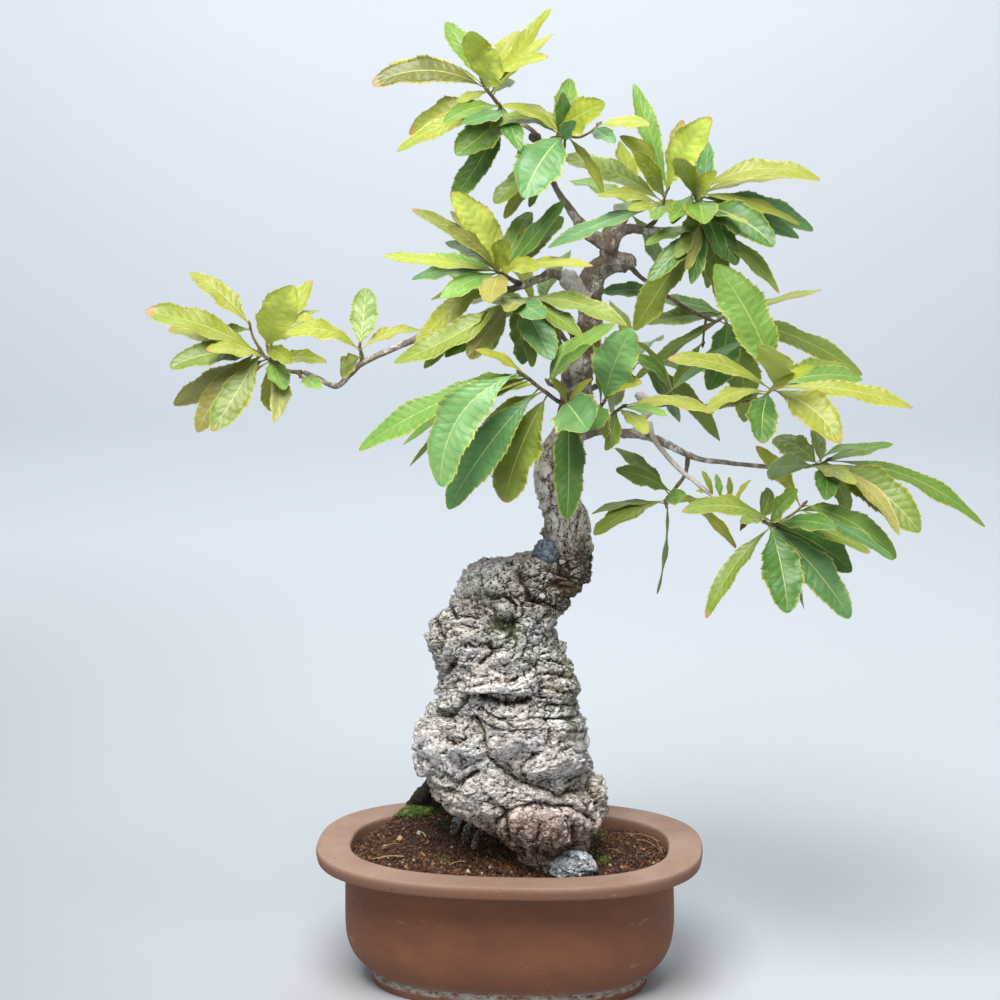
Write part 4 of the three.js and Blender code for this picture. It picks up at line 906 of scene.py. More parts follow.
# the bark's big blocks, read from the front: (x, z, half width, half height, rise, how sharp underneath)
barkBlocks = [
    (-18, 418, 34, 22, 8, 1.5), (-62, 365, 24, 30, 8, 1.4), (-40, 365, 14, 16, 7, 1.6),
    (-6, 386, 20, 12, 8, 2.2), (0, 346, 18, 20, 9, 1.4), (-13, 311, 34, 11, 13, 2.8),
    (-66, 294, 20, 14, 8, 1.8), (-78, 256, 18, 24, 9, 1.8), (-42, 249, 20, 17, 10, 2.4),
    (-1, 264, 32, 30, 14, 1.6), (48, 232, 31, 22, 13, 2.8), (36, 173, 44, 24, 14, 2.4),
    (-37, 197, 26, 20, 10, 1.6), (50, 318, 18, 30, 6, 1.2), (50, 273, 20, 24, 7, 1.6),
    (87, 212, 13, 26, 6, 1.4), (28, 430, 18, 14, 6, 1.6), (-84, 232, 12, 12, 6, 2.4),
]
# deep fissures between them, read from the front: (points [x, z] of a line, depth, half width)
fissures = [
    ([(-13, 181), (4, 193), (26, 198), (60, 195), (77, 185)], 8, 2.4),
    ([(-1, 227), (14, 219), (35, 211), (49, 206), (69, 212)], 9, 3.0),
    ([(-25, 304), (-12, 298), (3, 298), (17, 304)], 9, 3.4),
    ([(-40, 315), (-13, 321), (5, 324)], 6, 2.2), ([(-64, 224), (-50, 219), (-36, 228)], 9, 3.2),
    ([(-66, 263), (-54, 255), (-45, 262)], 8, 2.6), ([(-32, 282), (-25, 263), (-20, 244), (-1, 225)], 6, 2.2),
    ([(-86, 283), (-54, 289), (-40, 306)], 7, 2.4), ([(2, 366), (5, 376), (3, 385)], 4, 4.0),
    ([(-32, 334), (-14, 349), (-19, 358)], 8, 3.0), ([(33, 340), (68, 337)], 3, 1.6),
    ([(30, 326), (70, 324)], 3.5, 1.6), ([(32, 311), (70, 309)], 4, 1.6), ([(34, 297), (70, 296)], 3, 1.6),
    ([(32, 282), (72, 284)], 4, 1.8), ([(36, 268), (74, 268)], 3, 1.6), ([(60, 182), (57, 160)], 6, 2.0),
    ([(11, 426), (20, 404), (36, 400)], 8, 3.2), ([(-60, 396), (-52, 380), (-30, 384)], 5, 2.2),
    ([(-52, 345), (-60, 330), (-70, 322)], 6, 2.4), ([(-20, 206), (-6, 190), (2, 170)], 5, 2.2),
    ([(20, 246), (10, 232), (18, 222)], 5, 2.2), ([(-50, 176), (-30, 186), (-16, 182)], 5, 2.0),
    ([(84, 236), (76, 214), (84, 196)], 5, 2.2), ([(-24, 404), (-4, 404), (6, 396)], 5, 2.2),
    ([(-70, 380), (-62, 362), (-66, 348)], 5, 2.0),
]
bark = {
    "plates": [(27.0, 3.4, 2.6, 0.09, 60), (12.0, 1.7, 1.3, 0.08, 70)],  # size, lift, cut, border, salt
    "flakes": [(6.6, 2.1, 3.8, 19.0, 84), (3.5, 1.2, 3.0, 10.0, 104)],  # rise, lift, wander, curl, salt
    "crumples": [(26.0, 5.0, 193), (13.0, 3.2, 190), (7.2, 2.0, 191), (4.0, 0.8, 192)],  # size, lift, salt
    "fins": [(15.0, 4.4, 0.30, 215), (8.0, 2.8, 0.30, 216)],  # size, lift, half width, salt
    "warp": (34, 7, 50),  # size, reach, salt of the bend that plates and flakes follow
    "grit": (2.2, 0.45, 90), "swell": (44, 3.0, 99),  # size, lift, salt
    "ringStep": 1.1, "soften": 3.2, "inset": (2.5, 1.5),
}
# how the read forms are laid on: their places wander by a noise (size, reach), a block's lift and the
# power of its bell, a fissure's depth and width times its own, and how deep the ground between sinks
forms = {"wander": (16, 2.6), "lift": 1.45, "power": 2.6, "cut": 1.2, "spread": 2.1, "sink": 2.0}
# heights of the view plane at which rust, lichen and relief come and go
barkAge = {
    "rustLow": (180, 30, 0.7), "rustHigh": (545, 50, 0.9), "lichen": (520, 60, 0.28),  # height, over, most
    "calm": (548, 45),  # the relief halves over this height
}
# tones of the bark read from the front: (x, z, half width, half height, darker, greener, redder); darker
# above 0 is painted shade in recesses, under blocks and under the neck, and below 0 is painted light on the
# lit faces of blocks and the ledge crest
barkTones = [
    (60, 418, 34, 30, 0.42, 0.8, 1.0), (62, 315, 20, 56, 0.06, 1.0, 0.0),
    # the first row here is the low boulder's underside: its darker is painted shade, and its redder is partly
    # the bark's brown and partly painted shade
    (25, 163, 39, 17, 0.34, 0.0, 1.3), (-10, 372, 15, 14, 0.26, 1.0, 0.0),
    (-14, 277, 24, 9, 0.16, 0.8, 0.2), (-22, 334, 22, 15, -0.36, -0.7, 0.0),
    (-74, 252, 18, 24, -0.22, -0.5, 0.1), (80, 205, 16, 30, 0.02, 0.6, 0.3),
    (-30, 205, 22, 22, -0.16, -0.3, 0.4), (0, 264, 28, 22, -0.22, -0.6, 0.3),
    (50, 238, 28, 18, -0.18, -0.6, 0.4), (34, 190, 44, 10, -0.2, -0.4, 0.4),
    (-14, 311, 34, 8, -0.28, -0.4, 0.1), (-50, 422, 26, 20, -0.1, 0.0, 0.0),
    (20, 398, 60, 12, 0.1, 0.5, 0.2), (74, 466, 13, 44, 0.16, 0.5, 0.2),
    (-40, 412, 30, 16, 0.02, 0.3, 0.0), (-60, 340, 20, 30, -0.03, 0.0, 0.0),
]


def bandTones(seen):
    # sums of the tones' soft ovals exp(-u^2 - w^2) at each seen place
    total = np.zeros((len(seen), 3))
    for x, z, wide, high, *tone in barkTones:
        oval = np.exp(-((seen[:, 0] - x) / wide) ** 2 - ((seen[:, 1] - z) / high) ** 2)
        total += oval[:, None] * np.array(tone)
    return total.T


def ringRows():
    # the outline's rows as world rings [x, y, z, half width, half depth], the buried base first
    rows = [[*trunkBase["middle"], z, *trunkBase["half"]] for z in (trunkBase["low"], trunkBase["top"])]
    for z, left, right, depth, half in trunkOutline:
        middle = place([(left + right) / 2, z, depth])[0]
        rows.append([*middle, (right - left) / 2 - bark["inset"][0], half - bark["inset"][1]])
    return np.array(rows)


def evenly(rows, step, soften):
    # rows at equal steps of their own length, each column blurred along it by a bell curve
    length = np.concatenate([[0], np.cumsum(np.linalg.norm(np.diff(rows, axis=0), axis=1))])
    at = np.linspace(0, length[-1], int(length[-1] / step))
    dense = np.column_stack([np.interp(at, length, column) for column in rows.T])
    reach = int(3 * soften / step)
    weights = np.exp(-0.5 * (np.arange(-reach, reach + 1) * step / soften) ** 2)
    weights /= weights.sum()
    padded = np.vstack([np.repeat(dense[:1], reach, 0), dense, np.repeat(dense[-1:], reach, 0)])
    return np.column_stack([np.convolve(column, weights, "valid") for column in padded.T])


def gridNormals(grid):
    # outward direction at each point of a closed-round grid: along the ring x up the rings
    around = np.roll(grid, -1, 1) - np.roll(grid, 1, 1)
    return unit(np.cross(around, np.gradient(grid, axis=0)))


def blurGrid(values, times):
    # a grid of numbers averaged with its neighbours, again and again
    for _ in range(times):
        padded = np.pad(values, ((1, 1), (0, 0)), "edge")
        values = (2 * values + padded[:-2] + padded[2:] + np.roll(values, 1, 1) + np.roll(values, -1, 1)) / 6
    return values


def lineDistance(seen, line):
    # shortest distance from each seen place to a broken line
    best = np.full(len(seen), 1e9)
    for a, b in zip(np.array(line[:-1], float), np.array(line[1:], float)):
        t = np.clip((seen - a) @ (b - a) / np.dot(b - a, b - a), 0, 1)
        best = np.minimum(best, np.linalg.norm(seen - a - t[:, None] * (b - a), axis=1))
    return best


def corkRelief(points, strength, tall):
    # plates of two sizes on warped space, lifted and tilted; flakes: a saw wave up the trunk, its phase
    # bent by noise, that swells towards its upper lip and drops under it; pillows |noise|^0.65 over all
    size, reach, salt = bark["warp"]
    warp = np.column_stack([roughNoise(points, size, salt + k, 3) for k in range(3)]) * reach
    warped = (points + warp) * np.array([1, 1, tall])
    relief = np.zeros(len(points))
    crack = np.zeros(len(points))
    for size, lift, cut, border, salt in bark["plates"]:
        height, edge = plates(warped, size, salt)
        groove = np.clip(1 - edge / border, 0, 1) ** 1.5
        relief += strength * (lift * height - cut * groove)
        crack = np.maximum(crack, groove * 0.5)
    for rise, lift, wander, curl, salt in bark["flakes"]:
        bent = (warped[:, 2] + 0.35 * points[:, 0]) / rise + wander * roughNoise(points, curl, salt, 3)
        saw = 1 - bent % 1
        shown = np.clip(0.65 + 0.9 * softNoise(points, 2 * rise, salt + 3), 0, 1.3)
        relief += strength * lift * shown * (saw ** 1.4 - 0.5)
        crack = np.maximum(crack, 0.75 * shown * np.clip((0.16 - saw) / 0.16, 0, 1))
    rise, seam = pillows((warped + 0.35 * warp) * np.array([0.85, 0.85, 1.35]), bark["crumples"])
    relief += strength * rise
    crack = np.maximum(crack, seam)
    # fins: sharp crests where a noise passes through zero, in some places only
    for size, lift, half, salt in bark["fins"]:
        wave = np.abs(roughNoise(points + 0.8 * warp, size, salt, 2))
        some = np.clip(0.2 + 1.5 * softNoise(points, 3 * size, salt + 4), 0, 1)
        relief += strength * lift * some * np.clip(1 - wave / half, 0, 1) ** 1.2
    size, lift, salt = bark["grit"]
    relief += strength * lift * roughNoise(warped, size, salt, 2)
    return relief, crack


def frontForms(points, normals):
    # the read blocks exp(-|u|^2.6 - |w|^2.6) and fissures, only where the surface faces the viewer
    size, reach = forms["wander"]
    seen = seenAt(points) + np.column_stack([roughNoise(points, size, salt, 2) for salt in (95, 97)]) * reach
    facing = np.clip(-(normals @ sightForward) * 1.7, 0, 1) ** 0.8
    rise = np.zeros(len(points))
    for x, z, wide, high, lift, sharp in barkBlocks:
        u = (seen[:, 0] - x) / wide
        w = (seen[:, 1] - z) / high
        w = np.where(w < 0, w * sharp, w * 0.85)
        bell = np.exp(-(np.abs(u) ** forms["power"] + np.abs(w) ** forms["power"]))
        rise = np.maximum(rise, forms["lift"] * lift * bell)
    cut = np.zeros(len(points))
    crack = np.zeros(len(points))
    for line, depth, half in fissures:
        near = np.clip(1 - lineDistance(seen, line) / (half * forms["spread"]), 0, 1)
        cut = np.maximum(cut, forms["cut"] * depth * near ** 1.3)
        crack = np.maximum(crack, near ** 0.8)
    return facing * (rise - cut - forms["sink"]), facing * crack


def barkGrid(rows, sides, strength, tall, readForms):
    # rings of an oval carried up the rows, then pushed out along the surface by the bark's relief; hollow is
    # how far a point lies under its surroundings, or how deep in a crack, and it darkens the bark: the
    # cracks' own dark and painted shade in the recesses
    oval = circle(sides)
    grid = np.empty((len(rows), sides, 3))
    grid[..., 0] = rows[:, 0:1] + rows[:, 3:4] * oval[:, 0]
    grid[..., 1] = rows[:, 1:2] + rows[:, 4:5] * oval[:, 1]
    grid[..., 2] = rows[:, 2:3]
    normals = gridNormals(grid)
    points = grid.reshape(-1, 3)
    relief, crack = corkRelief(points, strength, tall)
    fade = np.repeat(0.35 + 0.65 * np.minimum(rows[:, 3], 60) / 60, sides)
    top, over = barkAge["calm"]
    calm = np.clip((top - seenAt(points)[:, 1]) / over, 0.5, 1)
    size, lift, salt = bark["swell"]
    relief = relief * fade * calm + lift * fade * softNoise(points, size, salt)
    if readForms:
        rise, deep = frontForms(points, normals.reshape(-1, 3))
        low = np.clip((points[:, 2] - trunkBase["top"] + 2) / 18, 0, 1)
        relief += rise * low
        crack = np.maximum(crack, deep * low)
    relief = relief.reshape(grid.shape[:2])
    near = blurGrid(relief, 3)
    hollow = (blurGrid(near, 22) - near) * 0.12 + (near - relief) * 0.5 + 0.08
    hollow = np.maximum(hollow, 0.74 * crack.reshape(relief.shape) ** 1.1)
    return pushedOut(grid, normals, relief), np.clip(hollow, 0, 1).ravel()


def ringAt(rows, seenZ, missing):
    # number of the first ring above a height of the view plane
    return missing if seenZ is None else int(np.searchsorted(rows[:, 2], place([0, seenZ, 0])[0][2]))


def buildTrunk(lowFinish, neckFinish):
    # bark on each part of the rings, and its tones: hollow, lichen and warm
    rows = evenly(ringRows(), bark["ringStep"], bark["soften"])
    for name, part in trunkParts.items():
        first = ringAt(rows, part["from"], 0) - part["over"][0]
        last = ringAt(rows, part["to"], len(rows)) + part["over"][1]
        isNeck = name == "trunk_neck"
        settings = (part["sides"], part["strength"], part["tall"], not isNeck)
        grid, hollow = barkGrid(rows[first:last], *settings)
        points, quads, tris = capped(grid)
        seen = seenAt(points)
        # darker is the tones' painted shade, and painted light where it is below 0; it is added into hollow
        darker, greener, redder = bandTones(seen)
        (low, lowOver, lowRust), (high, highOver, highRust) = barkAge["rustLow"], barkAge["rustHigh"]
        rusty = lowRust * np.clip((low - seen[:, 1]) / lowOver, 0, 1)
        rusty = rusty + np.clip((seen[:, 1] - high) / highOver, 0, highRust)
        top, over, green = barkAge["lichen"]
        values = {"hollow": np.clip(np.append(hollow, [0.3, 0.3]) + darker, 0, 1),
                  "lichen": np.clip(green + greener, 0, 1) * np.clip((top - seen[:, 1]) / over, 0.3, 1),
                  "warm": np.clip(rusty + redder, 0, 1)}
        piece = addMesh(name, points, quads, tris, None, values)
        nodes = ["trunk"] if name == "trunk_cork" else []
        seat(piece, "bark", neckFinish if isNeck else lowFinish, *nodes)


# Roots

knuckle = {"middle": (62.0, -88.0, 147.5), "half": (22.0, 12.0, 14.5), "sides": 90, "rings": 56}
# small roots under the overhang at the left: x, z where they enter the soil, lean, radius
smallRoots = [(-57, 169, 9, 3.6), (-45, 160, 6, 4.4), (-37, 152, 8, 3.0)]
shadedRoot = {
    "seen": [(-64, 232, 6, 8), (-74, 217, 18, 9), (-85, 207, 32, 8)],  # x, z, depth, radius
    # x, y, the place where the soil's height is taken, lift over it, radius
    "ground": [(-101, 48, -104, 48, 1, 6), (-108, 52, -110, 52, -7, 3)],
}


def addRoot(bundle, grid, hollow, lichen, cool):
    # one closed tube of root bark
    points, quads, tris = capped(grid)
    bundle.add(points, quads, tris, hollow=np.append(*hollow), lichen=lichen, warm=0.0, cool=cool)


def buildRoots(material):
    # the knuckle of root in front, small roots that enter the soil under the overhang, and a shaded
    # one behind that goes down into the moss
    turn = circle(knuckle["sides"])
    rise = np.linspace(-0.5 * math.pi, 0.5 * math.pi, knuckle["rings"])[1:-1, None]
    ball = np.stack([np.cos(rise) * turn[:, 0], np.cos(rise) * turn[:, 1],
                     np.sin(rise) * np.ones(len(turn))], -1)
    grid = ball * np.array(knuckle["half"]) + np.array(knuckle["middle"])
    normals = gridNormals(grid)
    relief, crack = corkRelief(grid.reshape(-1, 3), 0.55, 0.8)
    roots = Bundle()
    addRoot(roots, pushedOut(grid, normals, relief), (crack * 0.6, [0, 0]), 0.2, 1.0)
    for x, z, lean, radius in smallRoots:
        foot = onSoil([(x, z)], -6)[0]
        top = foot + np.array([lean + 6.0, 14.0, 24.0])
        middle = (foot + top) / 2 + np.array([-4.0, -3.0, 3.0])
        path = smoothPath(np.vstack([foot, middle, top]), 1.0)
        tube, out = tubeGrid(path, radius * (1 + 0.35 * softNoise(path, 8, int(x) + 200)), 22)
        relief, seam = pillows(tube.reshape(-1, 3), [(6.0, 2.0, 160), (3.0, 0.9, 161)])
        addRoot(roots, pushedOut(tube, out, relief), (0.4 + 0.5 * seam, [0, 0]), 0.6, 0.7)
    seen = np.array(shadedRoot["seen"], float)
    rows = [*np.column_stack([place(seen[:, :3]), seen[:, 3]])]
    for x, y, feltX, feltY, lift, radius in shadedRoot["ground"]:
        rows.append([x, y, soilHeight(np.array([(feltX, feltY)], float))[0] + lift, radius])
    path = smoothPath(rows, 1.2)
    tube, out = tubeGrid(path[:, :3], path[:, 3] * (1 + 0.2 * softNoise(path[:, :3], 9, 231)), 26)
    relief, seam = pillows(tube.reshape(-1, 3), [(9.0, 2.2, 162), (4.0, 1.0, 163)])
    # the shaded root's hollow above 1 paints it near black: painted shade where it lies behind the trunk
    addRoot(roots, pushedOut(tube, out, relief), (1.2 + 0.2 * seam, [1.3, 1.3]), 0.2, 0.0)
    seat(roots.build("roots"), "bark", material)


# Wound paste

paste = {
    "stub": (58, 452, 0), "way": (-0.66, -0.75, 0.05), "out": 35.0, "radius": 13.6, "bulge": 11.0,
    "cells": 9.0, "sides": 84, "rings": 50,
}


def buildPaste():
    # a bead of paste over the pruned stub, drawn out downwards, swollen into pads that are parted
    # by upright seams and by cracks between cells
    p = paste
    way = unit(np.array(p["way"]))
    first = unit(np.cross(way, [0, 0, 1.0]))
    turn = circle(p["sides"])
    ring = first * turn[:, :1] + np.cross(way, first) * turn[:, 1:]
    rise = np.linspace(-0.35 * math.pi, 0.5 * math.pi, p["rings"])[:-1, None, None]
    bead = np.cos(rise) * ring * p["radius"]
    low = np.clip(-bead[..., 2:] / p["radius"], 0, 1)
    bead = bead * (1 - 0.34 * low ** 2)
    bead[..., 2:] *= 1.1 + 0.75 * low
    middle = place(p["stub"])[0] + way * p["out"]
    grid = middle + bead + np.sin(rise) * way * (p["bulge"] - 3.5 * low)
    normals = gridNormals(grid)
    if np.sum(normals[10, 0] * ring[0]) < 0:
        grid, normals = grid[:, ::-1], -normals[:, ::-1]
    flat = grid.reshape(-1, 3)
    height, edge = plates(flat + 3.0 * drift(flat, 7, (1, 2, 5)), p["cells"], 127, 0.2)
    away = flat - middle
    slope = np.arctan2(away @ first, 3.0 + np.abs(away[:, 2])) * 1.9 + 0.35 * softNoise(flat, 8, 9)
    some = np.clip(0.5 + 1.6 * softNoise(flat, 7, 14), 0, 1)
    seam = np.clip(1 - np.abs(slope % 1 - 0.5) / 0.16, 0, 1) * some
    crack = np.clip(seam ** 1.2 + 0.55 * np.clip(1 - edge / 0.2, 0, 1), 0, 1)
    relief = 1.0 * height - 2.4 * crack + 0.7 * roughNoise(flat, 4, 113, 2)
    points, quads, tris = capped(pushedOut(grid, normals, relief))
    piece = addMesh("cut_paste_pads", points, quads, tris, None, {"crack": np.append(crack, [0, 0])})
    seat(piece, "cut_paste", woundPaste(), "cut_paste")


# Branches, twigs and leaves

# limbs of the trunk, from it outwards: (x, z, depth, radius)
limbs = {
    "upperTrunk": [
        (56, 474, 0, 22), (50, 495, 0, 23), (45, 512, 0, 23), (43, 531, 0, 23), (50, 553, 0, 21.5),
        (62, 572, -2, 19), (67, 600, -4, 17), (67, 626, -5, 16.5), (74, 656, -6, 17), (81, 683, -7, 14),
        (79, 706, -7, 13.5), (85, 727, -7, 11.5), (102, 739, -7, 10.5), (118, 737, -8, 9.5),
        (124, 733, -9, 8.5)],
    "paleStub": [(78, 706, -7, 10), (64, 716, -9, 9.5), (52, 729, -10, 10)],
    "leader": [
        (100, 738, -7, 9), (97, 756, -8, 8), (82, 765, -10, 7), (72, 775, -12, 6.5), (62, 789, -14, 5),
        (53, 802, -15, 3.6), (43, 820, -18, 3.2), (36, 848, -21, 2.8), (24, 869, -24, 2.6),
        (-1, 883, -27, 2.4)],
    "sideTop": [(34, 852, -22, 2.4), (42, 862, -30, 2.3), (52, 863, -38, 2.2)],
    "greyKnob": [(28, 864, -24, 3), (23, 864, -30, 5), (21, 864, -34, 4)],
    "rightArm": [
        (97, 752, -8, 8), (108, 768, -10, 7), (122, 772, -12, 5.5), (140, 770, -14, 5),
        (160, 771, -18, 3.6), (178, 775, -24, 3), (190, 784, -30, 2.6)],
    "greyStub": [(110, 768, -10, 4), (108, 782, -12, 3.8), (106, 797, -14, 3.4)],
    "rightTwig": [(134, 771, -13, 2.6), (145, 780, -18, 2.3), (151, 791, -22, 2.1)],
    "brownTwig": [
        (120, 735, -6, 3), (132, 723, 4, 2.4), (152, 709, 24, 2.3), (176, 693, 44, 2.3),
        (192, 685, 56, 2.3)],
    "leftArm": [
        (66, 716, -8, 7), (46, 727, -12, 5.5), (28, 722, -20, 4.6), (4, 713, -26, 4.2),
        (-32, 706, -30, 4), (-50, 699, -30, 3.9), (-72, 682, -28, 3.8), (-93, 663, -25, 3.8),
        (-120, 651, -22, 3.6), (-148, 638, -20, 3.6), (-160, 627, -18, 3.4), (-174, 615, -16, 3.2),
        (-192, 623, -14, 2.8), (-208, 629, -13, 2.6)],
    "leftShoot": [(-148, 639, -20, 2.4), (-148, 645, -23, 2), (-149, 649, -26, 1.9)],
    "middleTwig": [(70, 662, -10, 6), (55, 678, -22, 5), (38, 689, -34, 3.6), (18, 699, -44, 2.8)],
    "centreTwig": [(12, 716, -24, 3), (0, 722, -38, 2.6), (-8, 727, -48, 2.4)],
    "longArm": [
        (60, 566, -4, 9), (88, 572, -8, 7), (110, 568, -12, 5.6), (130, 567, -16, 5.4),
        (150, 560, -18, 4.6), (176, 547, -20, 3.6), (194, 541, -22, 3), (214, 539, -23, 2.8),
        (257, 534, -26, 2.6), (287, 534, -28, 2.5), (302, 535, -29, 2.4)],
    "palePeg": [(126, 567, -16, 5), (134, 584, -18, 4.6), (142, 596, -20, 6), (126, 607, -22, 5.6)],
    "lowArm": [
        (138, 578, -19, 3.4), (144, 562, -28, 3), (157, 545, -34, 2.8), (173, 529, -40, 2.6),
        (203, 505, -50, 2.5), (220, 497, -56, 2.4), (240, 486, -62, 2.4), (252, 480, -66, 2.4)],
    "midArm": [
        (142, 596, -20, 3), (165, 597, -30, 2.4), (184, 594, -40, 2.2), (213, 598, -50, 2.2),
        (250, 602, -58, 2.2), (258, 608, -60, 2.1)],
    "hangTwig": [(178, 545, -21, 2.4), (175, 526, -18, 2.1), (163, 510, -17, 2.1), (156, 502, -17, 2)],
    "smallTwig": [(144, 600, -18, 2.2), (150, 604, -4, 2), (156, 606, 4, 1.9)],
    "frontArm": [(68, 590, -16, 6), (64, 593, -40, 4.2), (60, 592, -62, 3.2)],
    "frontLeft": [(64, 594, -40, 2.8), (46, 601, -68, 2.4), (30, 613, -90, 2.2), (20, 621, -100, 2.2)],
    "frontTwig": [(64, 594, -41, 2.6), (53, 608, -68, 2.3), (42, 616, -86, 2.2)],
    "midRight": [(72, 584, -14, 3.4), (84, 590, -40, 2.6), (92, 596, -62, 2.4)],
    "smallRight": [(80, 574, -14, 3.6), (98, 583, -34, 2.4), (108, 591, -44, 2.2)],
    "backLeft": [(70, 640, 10, 4), (50, 668, 50, 3), (30, 688, 84, 2.6)],
    "backRight": [(66, 604, 12, 4), (100, 622, 56, 3), (124, 636, 92, 2.6)],
    "backTop": [(102, 742, 2, 4), (110, 768, 40, 2.8), (118, 786, 70, 2.4)],
}

